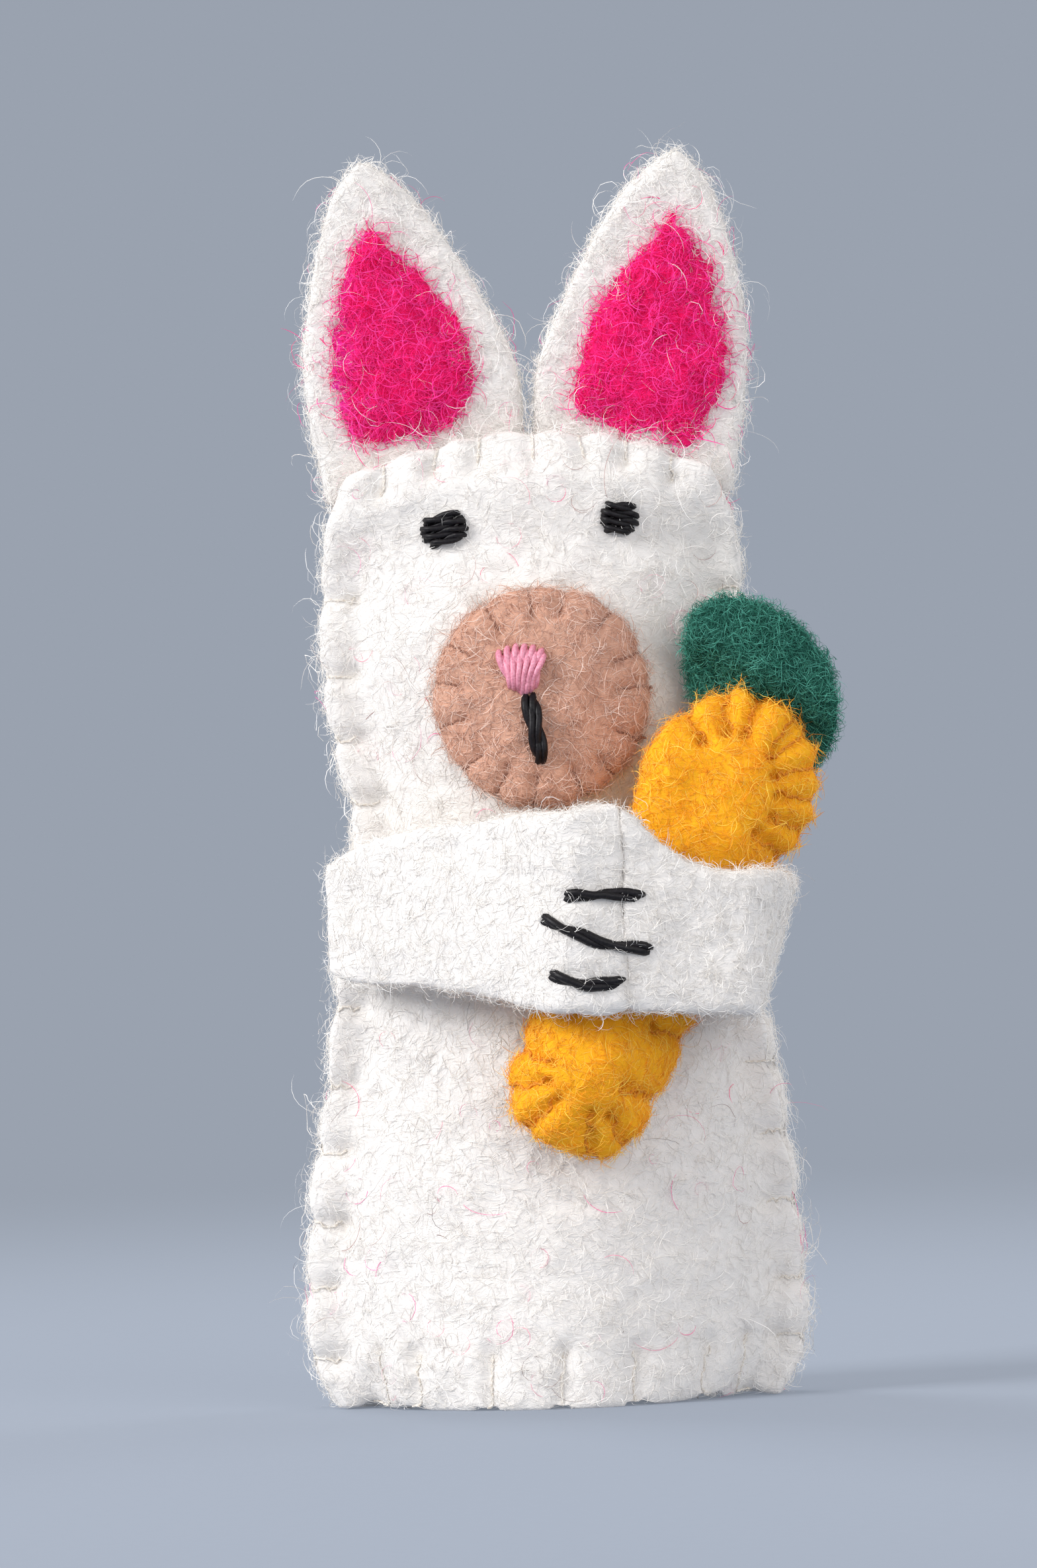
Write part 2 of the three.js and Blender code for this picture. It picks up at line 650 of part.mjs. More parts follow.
// Black floss across the meeting hands.
function handStitch(places) {
  const points = places.map(([x, z], i) => {
    const lift = i === 0 || i === places.length - 1 ? 0 : 0.15;
    return [x, -(armFront(x) + GAP + FLOSS / 2 + lift), z];
  });
  return thread(points, FLOSS, 3, 5);
}

const aboveArm = (places) => places.map(([x, z]) => [HAND_X + x, ARM_LOW + z]);
const UPPER_STITCH = aboveArm([[-4.3, 8.9], [-1.3, 9.2], [1.8, 8.8]]);
const MIDDLE_STITCH = aboveArm([[-5.8, 7.5], [-2.4, 5.6], [2.3, 4.6]]);
const LOWER_STITCH = aboveArm([[-5.4, 3.2], [-2.7, 2.0], [0, 2.5]]);

// ---------- Assembly ----------

function addPiece(group, name, geometry, color, roughness = 0.95) {
  const material = new THREE.MeshStandardMaterial({ color, roughness, metalness: 0 });
  const mesh = new THREE.Mesh(geometry, material);
  mesh.name = name;
  group.add(mesh);
}

function addSkirt(group) {
  addPiece(group, "front_panel_skirt", skirtPanel(-1), WHITE);
  addPiece(group, "back_panel_skirt", skirtPanel(1), WHITE);
  addPiece(group, "front_hem_stitch", hemStitch(-1), WHITE, 0.8);
  addPiece(group, "back_hem_stitch", hemStitch(1), WHITE, 0.8);
  for (const [name, side] of [["left", -1], ["right", 1]]) {
    addPiece(group, `${name}_skirt_stitch`, sideStitch(side, 4, FOLD_HEIGHT - 2), WHITE, 0.8);
  }
}

function addChestAndHead(group) {
  addPiece(group, "front_panel_chest", chestPanel(-1), WHITE);
  addPiece(group, "back_panel_chest", chestPanel(1), WHITE);
  addPiece(group, "front_head_stitch", headStitch(-1), WHITE, 0.8);
  addPiece(group, "back_head_stitch", headStitch(1), WHITE, 0.8);
  for (const [name, side] of [["left", -1], ["right", 1]]) {
    const stitch = sideStitch(side, FOLD_HEIGHT + 2, TOP - EAR_TUCK - 3.5);
    addPiece(group, `${name}_chest_stitch`, stitch, WHITE, 0.8);
  }
}

function addFace(group) {
  addPiece(group, "muzzle", muzzle(), TAN);
  addPiece(group, "muzzle_stitch", muzzleStitch(), TAN, 0.8);
  addPiece(group, "nose_floss", nose(), ROSE, 0.6);
  addPiece(group, "mouth_floss", mouth(), BLACK, 0.6);
  addPiece(group, "left_eye_floss", eye(LEFT_EYE), BLACK, 0.6);
  addPiece(group, "right_eye_floss", eye(RIGHT_EYE), BLACK, 0.6);
}

function addArms(group) {
  addPiece(group, "left_arm", leftArm(), WHITE);
  addPiece(group, "right_arm", rightArm(), WHITE);
  addPiece(group, "upper_hand_stitch", handStitch(UPPER_STITCH), BLACK, 0.6);
  addPiece(group, "middle_hand_stitch", handStitch(MIDDLE_STITCH), BLACK, 0.6);
  addPiece(group, "lower_hand_stitch", handStitch(LOWER_STITCH), BLACK, 0.6);
}

function carrotGroup() {
  const carrot = new THREE.Group();
  carrot.position.set(CARROT.x, 0, CARROT.z);
  carrot.rotation.y = CARROT.tilt;
  addPiece(carrot, "carrot_back_felt", carrotBackFelt(), ORANGE);
  addPiece(carrot, "carrot_front_felt", carrotFrontFelt(), ORANGE);
  addPiece(carrot, "carrot_stuffing", carrotStuffing(), WHITE);
  addPiece(carrot, "carrot_stitch", carrotStitch(), ORANGE, 0.8);
  addPiece(carrot, "carrot_leaf", leaf(), GREEN);
  return carrot;
}

function earGroup() {
  const ears = new THREE.Group();
  ears.position.z = EAR_LINE;
  for (const [name, side] of [["left", -1], ["right", 1]]) {
    addPiece(ears, `${name}_ear_root`, earLayer(side, -EAR_TUCK, -EAR_BEND_CLEARANCE, 3), WHITE);
    addPiece(ears, `${name}_ear`, earLayer(side, EAR_BEND_CLEARANCE, EAR_HEIGHT, 9), WHITE);
    addPiece(ears, `${name}_ear_inner`, earInnerLayer(side), PINK);
  }
  return ears;
}

const puppet = new THREE.Group();
addSkirt(puppet);
addChestAndHead(puppet);
addFace(puppet);
addArms(puppet);
puppet.add(carrotGroup(), earGroup());

// The origin is on the standing surface, under the middle of the whole puppet.
puppet.updateMatrixWorld(true);
const box = new THREE.Box3().setFromObject(puppet, true);
const middle = box.getCenter(new THREE.Vector3());
puppet.position.set(-middle.x, -middle.y, -box.min.z);

export default puppet;
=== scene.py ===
# %% [markdown]
# # A wool-felt rabbit finger puppet
# A hand-sewn puppet of thick wool felt: two body panels sewn into a tube, two leaf-shaped ears
# with pink wool needled onto them, a tan muzzle, and two arms that hug a stuffed carrot.
# The engineering model gives every piece its place. This lesson builds the soft surface around
# it: felt with rounded edges, seams that pull it into scallops, thread, and loose fibres.

import math

import bpy
import numpy as np
from mathutils import Matrix, Vector
from mathutils.bvhtree import BVHTree


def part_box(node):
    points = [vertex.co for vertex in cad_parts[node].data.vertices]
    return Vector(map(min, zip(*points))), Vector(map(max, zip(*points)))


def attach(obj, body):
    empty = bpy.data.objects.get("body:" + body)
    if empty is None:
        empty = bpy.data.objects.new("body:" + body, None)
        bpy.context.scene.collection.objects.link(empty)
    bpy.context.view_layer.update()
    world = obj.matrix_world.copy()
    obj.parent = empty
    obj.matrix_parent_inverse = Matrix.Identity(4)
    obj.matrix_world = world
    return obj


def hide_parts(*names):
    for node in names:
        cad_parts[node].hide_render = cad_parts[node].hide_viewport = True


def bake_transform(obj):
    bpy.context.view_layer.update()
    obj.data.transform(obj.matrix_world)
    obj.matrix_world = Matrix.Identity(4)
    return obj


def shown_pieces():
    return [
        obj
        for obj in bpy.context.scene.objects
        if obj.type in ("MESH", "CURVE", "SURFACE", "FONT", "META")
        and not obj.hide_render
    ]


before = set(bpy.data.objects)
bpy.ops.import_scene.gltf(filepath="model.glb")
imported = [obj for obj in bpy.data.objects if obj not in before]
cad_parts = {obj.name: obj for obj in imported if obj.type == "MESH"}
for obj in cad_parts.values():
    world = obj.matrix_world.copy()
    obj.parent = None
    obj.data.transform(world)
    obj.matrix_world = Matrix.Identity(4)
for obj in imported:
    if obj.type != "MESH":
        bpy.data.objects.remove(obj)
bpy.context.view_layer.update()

# %% [markdown]
# Felt is easier to think about in millimetres, from the middle of the puppet: X to the right,
# Y to the back, Z up from the hem. The two body panels are alike, so the middle lies between
# them. The turned frame of the carrot runs from its tip to its crown.

# %% The puppet's own millimetres
MM = 0.001
PANEL_LOW, PANEL_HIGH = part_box("front_panel_chest")
SKIRT_FRONT, SKIRT_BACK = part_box("front_panel_skirt")[0].y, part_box("back_panel_skirt")[1].y
MIDDLE = np.array([(PANEL_LOW.x + PANEL_HIGH.x) / 2, (SKIRT_FRONT + SKIRT_BACK) / 2, 0]) / MM
TOP = PANEL_HIGH.z / MM
FOLD = PANEL_LOW.z / MM
EAR_LINE = (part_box("left_ear_root")[1].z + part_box("left_ear")[0].z) / 2 / MM
FELT = 2.6  # thickness of the body's felt


def box_of(node):
    """A CAD node's lowest and highest corner in the puppet's own millimetres."""
    low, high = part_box(node)
    return np.array(low) / MM - MIDDLE, np.array(high) / MM - MIDDLE


print("top", round(TOP, 1), "fold", round(FOLD, 1), "ear line", round(EAR_LINE, 1))

# %% [markdown]
# The camera comes first, so that every piece can be looked at as it is made. A long lens from
# far away keeps the ears and the carrot at their true proportions, and it is rolled by two
# degrees, which gives the puppet a slight lean.

# %% Camera
LENS = 200
FRAME_HEIGHT = 122.9  # mm from the top to the bottom of the view, at the face
ROLL = math.radians(2.0)
AIM = np.array([-1.72, -6.0, TOP - 27.73])  # the middle of the view, in the puppet's mm

camera_data = bpy.data.cameras.new("camera")
camera_data.lens = LENS
camera_data.clip_start = 0.01
camera = bpy.data.objects.new("camera", camera_data)
bpy.context.scene.collection.objects.link(camera)
distance = FRAME_HEIGHT * LENS / camera_data.sensor_width
eye = Vector((AIM + MIDDLE - [0, distance, 0]) * MM)
up = Vector((math.sin(ROLL), 0, math.cos(ROLL)))
right = Vector((math.cos(ROLL), 0, -math.sin(ROLL)))
camera.matrix_world = Matrix.Translation(eye) @ Matrix((right, up, Vector((0, -1, 0)))).transposed().to_4x4()
bpy.context.scene.camera = camera
print("camera", round(distance), "mm from the face")

# %% [markdown]
# Every colour below is written as an ordinary sRGB hex value, and one function turns it to the
# linear light that shaders reckon in. One more function adds a shader node with its settings
# and its inputs, each a plain value or another node's output.


# %% Colour and node helpers
def linear(hex_value, alpha=1.0):
    """An sRGB hex colour as linear RGBA."""
    parts = [int(hex_value[i : i + 2], 16) / 255 for i in (0, 2, 4)]
    return (*[c / 12.92 if c <= 0.04045 else ((c + 0.055) / 1.055) ** 2.4 for c in parts], alpha)


def add(tree, kind, inputs=None, **settings):
    """Adds a shader node. Each input is a value, or another node's output to link."""
    made = tree.nodes.new("ShaderNode" + kind)
    for name, value in settings.items():
        setattr(made, name, value)
    for name, value in (inputs or {}).items():
        if isinstance(value, bpy.types.NodeSocket):
            tree.links.new(value, made.inputs[name])
        else:
            made.inputs[name].default_value = value
    return made


def new_material(name):
    """An empty node material and its tree, with the place in millimetres as a vector."""
    material = bpy.data.materials.new(name)
    material.use_nodes = True
    tree = material.node_tree
    tree.nodes.clear()
    place = add(tree, "TexCoord").outputs["Object"]
    place = add(tree, "VectorMath", {0: place, 1: (1 / MM, 1 / MM, 1 / MM)}, operation="MULTIPLY").outputs[0]
    return material, tree, place


def finish_material(tree, shader):
    """Makes a shader the surface of its material."""
    add(tree, "OutputMaterial", {"Surface": shader.outputs[0]})


print("white felt in linear light", [round(c, 3) for c in linear("ede8e3")])

# %% [markdown]
# Wool felt is a mat of crimped fibres, a few hundredths of a millimetre thick, that scatter
# light evenly: no gloss, and a soft glow where fibres stand up against the light, which sheen
# gives. Three layers of stretched noise, each bent by a slower one, read as matted fibres that
# lie in all directions. They are drawn about 0.15 mm wide, coarser than real wool, so that
# they show at this size. The colour has painted shade where the fibres lie low, and more painted
# shade where a stitch presses the felt in.


# %% Felt material
def fibre_height(tree, place, width=0.15, length=1.6, bend=1.4):
    """Height of matted fibres of a width and length in mm, from three stretched noises."""
    slow = add(tree, "TexNoise", {"Vector": place, "Scale": 1 / 2.5, "Detail": 2.0})
    shift = add(tree, "VectorMath", {0: slow.outputs["Color"], 1: (0.5, 0.5, 0.5)}, operation="SUBTRACT")
    shift = add(tree, "VectorMath", {0: shift.outputs[0], "Scale": 2 * bend}, operation="SCALE")
    bent = add(tree, "VectorMath", {0: place, 1: shift.outputs[0]}, operation="ADD").outputs[0]
    height = None
    for turn in (0.2, 1.3, 2.3):
        laid = add(tree, "Mapping", {"Vector": bent, "Rotation": (0.3 * turn, turn, 0.2),
                                     "Scale": (1 / length, 1 / (2 * width), 1 / (2 * width))})
        strands = add(tree, "TexNoise", {"Vector": laid.outputs[0], "Scale": 1.0, "Detail": 3.0,
                                         "Roughness": 0.6})
        level = strands.outputs["Fac"]
        height = level if height is None else add(
            tree, "Math", {0: height, 1: level}, operation="MAXIMUM").outputs[0]
    return height


def felt_material(name, colour, shade, dent_shade_colour, sheen=0.5, bump=0.16, hollow_shade_depth=0.5):
    """Matted wool in two tones, with painted shade in its hollows and in its dents."""
    material, tree, place = new_material(name)
    height = fibre_height(tree, place)
    # Carding leaves the wool in patches of tone some 4 to 5 mm across.
    patches = add(tree, "TexNoise", {"Vector": place, "Scale": 0.22, "Detail": 3.0})
    # Where the fibres lie low the shade colour is mixed in, more in some patches than others: painted shade
    # between the fibres.
    tone = add(tree, "MapRange", {"Value": height, "From Min": 0.78, "From Max": 0.42,
                                  "To Min": 0.0, "To Max": hollow_shade_depth})
    tone = add(tree, "Math", {0: patches.outputs["Fac"], 1: tone.outputs[0], 2: -0.12},
               operation="MULTIPLY_ADD", use_clamp=True)
    mixed = add(tree, "Mix", {"Factor": tone.outputs[0]}, data_type="RGBA")
    # Mix nodes name each kind's sockets alike, so the colour ones are set by their place.
    mixed.inputs[6].default_value, mixed.inputs[7].default_value = linear(colour), linear(shade)
    # Stitch dents get a darker colour mixed in: painted shade in the dent.
    dent_shade = add(tree, "Attribute", attribute_name="dent_shade")
    dent_shaded = add(tree, "Mix", {"Factor": dent_shade.outputs["Fac"]}, data_type="RGBA")
    tree.links.new(mixed.outputs[2], dent_shaded.inputs[6])
    dent_shaded.inputs[7].default_value = linear(dent_shade_colour)
    relief = add(tree, "Bump", {"Height": height, "Strength": 1.0, "Distance": bump * MM})
    shader = add(tree, "BsdfPrincipled", {
        "Base Color": dent_shaded.outputs[2], "Roughness": 0.95, "IOR": 1.54, "Specular IOR Level": 0.2,
        "Sheen Weight": sheen, "Sheen Roughness": 0.5, "Sheen Tint": linear(colour),
        "Normal": relief.outputs[0]})
    finish_material(tree, shader)
    return material


# Undyed white wool is warm and even. Tan and orange were dyed in the wool, so they are mottled,
# and they get more painted shade between their fibres. The green is brushed: painted shade lies
# deep between its raised tufts, which keep the lighter green.
white_felt = felt_material("white_wool_felt", "ede8e3", "e9e4de", "cfbfa9")
tan_felt = felt_material("tan_wool_felt", "d8a890", "bc8c76", "85594a", sheen=0.35, hollow_shade_depth=0.9)
orange_felt = felt_material("orange_wool_felt", "ffb822", "f59d14", "b5650a", sheen=0.25, hollow_shade_depth=0.9)
green_felt = felt_material("green_wool_felt", "2b6456", "173f37", "0f2a25", sheen=0.3, bump=0.3,
                           hollow_shade_depth=1.1)
felts = (white_felt, tan_felt, orange_felt, green_felt)
print("felts made:", [felt.name for felt in felts])

# %% [markdown]
# Loose fibres and thread get their own finishes. A single fibre is a thin translucent hair, so
# it is matt with a little sheen, and each has its own tone. Embroidery floss is mercerised
# cotton, combed smooth: its tight parallel strands give a soft gloss along them.


# %% Fibre and thread materials
def hair_material(name, light, dark, sheen=0.3):
    """Loose wool fibres, each with its own tone between light and dark."""
    material, tree, _ = new_material(name)
    tone = add(tree, "Attribute", attribute_name="tone")
    ramp = add(tree, "ValToRGB", {"Fac": tone.outputs["Fac"]})
    ramp.color_ramp.elements[0].color, ramp.color_ramp.elements[1].color = linear(dark), linear(light)
    finish_material(tree, add(tree, "BsdfPrincipled", {
        "Base Color": ramp.outputs[0], "Roughness": 0.8, "IOR": 1.54, "Specular IOR Level": 0.25,
        "Sheen Weight": sheen, "Sheen Roughness": 0.4, "Sheen Tint": linear(light)}))
    return material


def floss_material(name, light, dark, roughness=0.45, shine=0.5):
    """Spun thread: fine filaments along it, from a noise, and a soft gloss."""
    material, tree, place = new_material(name)
    # Real filaments are 0.02 mm thick. They are drawn about 0.17 mm wide, so that they show.
    fine = add(tree, "TexNoise", {"Vector": place, "Scale": 6.0, "Detail": 2.0})
    # The same noise sets the relief, so the dark tone falls where it is low: partly the filaments' own tone and
    # partly painted shade between them.
    ramp = add(tree, "ValToRGB", {"Fac": fine.outputs["Fac"]})
    ramp.color_ramp.elements[0].position, ramp.color_ramp.elements[1].position = 0.35, 0.65
    ramp.color_ramp.elements[0].color, ramp.color_ramp.elements[1].color = linear(dark), linear(light)
    relief = add(tree, "Bump", {"Height": fine.outputs["Fac"], "Strength": 0.5, "Distance": 0.05 * MM})
    finish_material(tree, add(tree, "BsdfPrincipled", {
        "Base Color": ramp.outputs[0], "Roughness": roughness, "IOR": 1.53, "Specular IOR Level": shine,
        "Normal": relief.outputs[0]}))
    return material


# Each fibre is a little lighter or darker than its felt. Sewing thread is matt, rose floss has a
# soft gloss, and black dye swallows most of it.
white_wool = hair_material("white_wool_fibre", "f6f3ef", "ebe6df")
pink_wool = hair_material("pink_wool_fibre", "ff4aac", "ff1079", sheen=0.1)
tan_wool = hair_material("tan_wool_fibre", "f6dccd", "bd8d76")
orange_wool = hair_material("orange_wool_fibre", "ffd75c", "f79f12")
green_wool = hair_material("green_wool_fibre", "5cab98", "125c49")
stray_wool = hair_material("stray_wool_fibre", "b9867e", "2d2424")
white_thread = floss_material("white_sewing_thread", "f1ece4", "d8cdbf", 0.7)
tan_thread = floss_material("tan_sewing_thread", "ad7c66", "855a48", 0.7)
orange_thread = floss_material("orange_sewing_thread", "ee9d17", "c9780c", 0.7)
black_floss = floss_material("black_cotton_floss", "19151a", "080607", 0.5, 0.25)
rose_floss = floss_material("rose_cotton_floss", "eda0b4", "d57f95", 0.45)
print("materials so far, the CAD model's own among them:", len(bpy.data.materials))

# %% [markdown]
# Meshes are worked on as arrays: points in the puppet's millimetres, and faces of four points.
# Random lumps come from a small hashed value noise, which gives the same result every time.


# %% Mesh helpers
def new_piece(name, points, quads, material, slot=None, shades=None):
    """A smooth mesh object from arrays, with any named shades, one number a point."""
    mesh = bpy.data.meshes.new(name)
    sides = quads.shape[1]
    mesh.vertices.add(len(points))
    mesh.vertices.foreach_set("co", ((points + MIDDLE) * MM).astype(np.float32).ravel())
    mesh.loops.add(quads.size)
    mesh.loops.foreach_set("vertex_index", quads.astype(np.int32).ravel())
    mesh.polygons.add(len(quads))
    mesh.polygons.foreach_set("loop_start", np.arange(0, quads.size, sides, dtype=np.int32))
    mesh.polygons.foreach_set("loop_total", np.full(len(quads), sides, np.int32))
    mesh.polygons.foreach_set("use_smooth", np.ones(len(quads), bool))
    mesh.update(calc_edges=True)
    for shade_name, values in (shades or {}).items():
        shade = mesh.attributes.new(shade_name, "FLOAT", "POINT")
        shade.data.foreach_set("value", values.astype(np.float32))
    mesh.materials.append(material)
    made = bpy.data.objects.new(name, mesh)
    bpy.context.scene.collection.objects.link(made)
    return made


def arrays_of(mesh):
    """The points and the four-sided faces of a mesh."""
    points = np.zeros(3 * len(mesh.vertices), np.float32)
    mesh.vertices.foreach_get("co", points)
    corners = np.zeros(len(mesh.loops), np.int32)
    mesh.loops.foreach_get("vertex_index", corners)
    return points.reshape(-1, 3).astype(float), corners.reshape(-1, 4)


def normals_of(points, quads):
    """The unit normal at each point."""
    corner = points[quads]
    across = np.cross(corner[:, 2] - corner[:, 0], corner[:, 3] - corner[:, 1])
    total = np.stack([np.bincount(quads.ravel(), np.repeat(across[:, k], 4), len(points)) for k in range(3)], 1)
    return total / np.maximum(np.linalg.norm(total, axis=1, keepdims=True), 1e-12)


def relax(points, quads, rounds, share=0.5):
    """Moves each point part of the way to the mean of its neighbours, which rounds edges."""
    ends = np.concatenate([quads[:, [k, (k + 1) % 4]] for k in range(4)])
    count = np.maximum(np.bincount(ends[:, 0], minlength=len(points)), 1)[:, None]
    for _ in range(rounds):
        mean = np.stack([np.bincount(ends[:, 0], points[ends[:, 1], k], len(points)) for k in range(3)], 1)
        points = points + share * (mean / count - points)
    return points


def lumps(points, size, seed):
    """Smooth random heights from -1 to 1, with bumps about size millimetres apart."""
    cells = points / size + 31.7 * seed
    base = np.floor(cells).astype(np.int64)
    part = cells - base
    part = part * part * (3 - 2 * part)
    total = np.zeros(len(points))
    for corner in np.ndindex(2, 2, 2):
        at = base + corner
        code = at[:, 0] * 73856093 ^ at[:, 1] * 19349663 ^ at[:, 2] * 83492791 ^ (seed + 1) * 2654435761
        code = ((code ^ (code >> 13)) * 1274126177) & 0xFFFFFFFF
        value = ((code ^ (code >> 16)) & 0xFFFF) / 32767.5 - 1
        total += value * np.where(corner, part, 1 - part).prod(1)
    return total


def smoothstep(value, low, high):
    """A smooth rise from 0 at low to 1 at high."""
    share = np.clip((np.asarray(value, float) - low) / (high - low), 0, 1)
    return share * share * (3 - 2 * share)


print("lumps repeat:", round(float(lumps(np.array([[1.0, 2.0, 3.0]]), 4, 1)[0]), 4))

# %% [markdown]
# A felt piece could be drawn anew, but its CAD solid already has the right outline, thickness
# and place. So its mesh is copied, melted into fine even squares by a voxel remesh, and
# relaxed, which rounds the cut edges as felt's soft edges are. Two solids that a joint parts,
# such as skirt and chest, are pushed together first, so that they melt into one sheet.


# %% Melt CAD solids into felt
def melt(nodes, voxel, rounds, reach=0.0, meet=None):
    """One even mesh around the CAD nodes. Points within reach of the height meet cross it."""
    bench = bpy.data.meshes.new("bench")
    points, faces = [], []
    for node in nodes:
        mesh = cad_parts[node].data
        place = np.array([v.co for v in mesh.vertices]) / MM - MIDDLE
        if meet is not None:
            near = np.abs(place[:, 2] - meet) < reach
            # Each solid's end goes as far past the joint as it stopped short of it, and a bit more.
            place[near, 2] += 2 * (meet - place[near, 2]) + np.sign(meet - place[near, 2]) * 0.2
        faces += [[len(points) + i for i in p.vertices] for p in mesh.polygons]
        points += place.tolist()
    bench.from_pydata(points, [], faces)
    copy = bpy.data.objects.new("bench", bench)
    bpy.context.scene.collection.objects.link(copy)
    weld = copy.modifiers.new("weld", "WELD")
    weld.merge_threshold = 0.001
    remesh = copy.modifiers.new("remesh", "REMESH")
    remesh.mode, remesh.voxel_size = "VOXEL", voxel
    evaluated = copy.evaluated_get(bpy.context.evaluated_depsgraph_get())
    melted, quads = arrays_of(evaluated.to_mesh())
    evaluated.to_mesh_clear()
    bpy.data.objects.remove(copy)
    bpy.data.meshes.remove(bench)
    return relax(melted, quads, rounds), quads


front, front_quads = melt(["front_panel_skirt", "front_panel_chest"], 0.36, 5, 0.3, FOLD - 0.15)
back, back_quads = melt(["back_panel_skirt", "back_panel_chest"], 0.36, 5, 0.3, FOLD - 0.15)
HEM_NICKS = np.linspace(-11.6, 11.6, 5)  # where the hem's stitches pass under it


def draw_together(panel, low, high):
    """Brings a panel's margins to the seam: up to low mm from it they meet it, past high they stay."""
    panel[:, 1] *= smoothstep(np.abs(panel[:, 1]), low, high)


for panel in (front, back):
    # Soft felt closes round a thread, so little of the nick under it stays open.
    close = np.exp(-((np.abs(panel[:, :1] - HEM_NICKS).min(1) / 1.5) ** 2))
    low = np.clip(panel[:, 2] / 1.8, 0, 1) * np.clip((5 - panel[:, 2]) / 2.9, 0, 1)  # 1 from 1.8 to 2.1 mm up
    panel[:, 2] -= 1.75 * close * low
    # The thread pulls the two margins together, so no gap is left between them.
    draw_together(panel, 0.0, 0.9)
print("front panel", len(front), "points; back panel", len(back))

# %% [markdown]
# A whip stitch runs from a hole in one panel, over the edge, to a hole in the other. Pulled
# tight, it presses the felt in along its way and leaves a lobe between it and the next, which
# is what scallops every edge of this puppet. Each stitch is a short path; the felt near it is
# pushed in against its own normal, and how deep it went is kept for the material, which paints
# shade into the dent.


# %% Stitches that press the felt
def walk(path, step):
    """Points a step apart along the straight spans of a path."""
    path = np.asarray(path, float)
    spans = np.linalg.norm(np.diff(path, axis=0), axis=1)
    along = np.concatenate([[0], np.cumsum(spans)])
    places = np.linspace(0, along[-1], max(2, round(along[-1] / step) + 1))
    return np.stack([np.interp(places, along, path[:, k]) for k in range(3)], 1)


def distance_to(points, path):
    """The distance from each point to a path, with points beyond the path's box left far."""
    far = np.full(len(points), 99.0)
    near = np.all((points > path.min(0) - 4) & (points < path.max(0) + 4), axis=1)
    if near.any():
        gaps = points[near][:, None] - path[None]
        far[near] = np.sqrt((gaps**2).sum(2).min(1))
    return far


def sew(points, quads, stitches, depth, width, hole=0.0):
    """Presses stitches into the felt. Each end of a stitch is a hole, pressed deeper."""
    normals = normals_of(points, quads)
    pressed = np.zeros(len(points))
    for stitch in stitches:
        path = walk(stitch, 0.4)
        pull = depth * np.exp(-((distance_to(points, path) / width) ** 2))
        for end in (path[:1], path[-1:]):
            pull += hole * np.exp(-((distance_to(points, end) / (0.8 * width)) ** 2))
        pressed = np.maximum(pressed, pull)
    return relax(points - normals * pressed[:, None], quads, 1), pressed


def rough(points, quads, strength, seed):
    """Uneven felt: broad waves, small lumps and a fine nap."""
    normals = normals_of(points, quads)
    height = 0.9 * lumps(points, 9, seed) + 0.5 * lumps(points, 3.2, seed + 1)
    height += 0.28 * lumps(points, 1.1, seed + 2) + 0.16 * lumps(points, 0.55, seed + 3)
    return points + normals * (strength * height)[:, None]


def tree_of(points, quads):
    """A search tree that finds the nearest place on a piece, or where a ray meets it."""
    return BVHTree.FromPolygons(points.tolist(), quads.tolist())


def ray(tree, start, way):
    """Where a ray first meets a piece, or None."""
    hit = tree.ray_cast(Vector(start), Vector(way))[0]
    return None if hit is None else np.array(hit)


def edge_at(tree, side, z, y=-1.5):
    """How far the side edge of the body is from its middle at a height."""
    return abs(ray(tree, (60 * side, y, z), (-side, 0, 0))[0])


rng = np.random.default_rng(20)
plain_front = tree_of(front, front_quads)
PITCH = 5.4  # mm from one side stitch to the next
BITE = 2.3  # mm from the edge to a side stitch's hole
side_stitches, hem_stitches, head_stitches = [], [], []
# Each path runs from a hole in one face, over the edge at the middle, to the other face.
for side in (-1, 1):
    for z in np.arange(4.2, TOP - 9, PITCH):
        z = z + rng.uniform(-0.6, 0.6)
        edge = edge_at(plain_front, side, z)
        drop, bite = rng.uniform(-0.7, 0.7), BITE + rng.uniform(-0.3, 0.5)
        side_stitches.append([[side * (edge - bite), -3.0, z], [side * edge, -2.9, z + drop / 4],
                              [side * (edge + 0.2), 0, z + drop / 2], [side * edge, 2.9, z + drop],
                              [side * (edge - bite), 3.0, z + drop]])
for x in [*HEM_NICKS, -14.8, 14.8]:
    x = x + rng.uniform(-0.15, 0.15)
    bite = 4.4 + rng.uniform(-0.9, 1.1)
    for side in (-1, 1):
        outer = abs(ray(plain_front, (x, -40, bite), (0, 1, 0))[1])
        hem_stitches.append([[x + 0.3, side * outer, bite], [x, side * (outer + 0.3), 0.2],
                             [x, side * (outer - FELT / 2), -0.2], [x, side * (outer - FELT), 0.4]])
for share in np.linspace(-0.88, 0.88, 7):
    share = share + rng.uniform(-0.03, 0.03)
    z = TOP - 3.2 * abs(share) ** 3
    x = share * 12.8
    tip, bite = rng.uniform(-0.4, 0.4), rng.uniform(1.7, 2.6)
    for side in (-1, 1):
        head_stitches.append([[x * 1.03 + tip, side * 4.6, z - bite], [x, side * 4.2, z - 0.6],
                              [x, side * 3.0, z + 0.1], [x, side * 1.8, z - 0.6]])
body_stitches = side_stitches + hem_stitches + head_stitches
print("body stitches:", len(body_stitches))
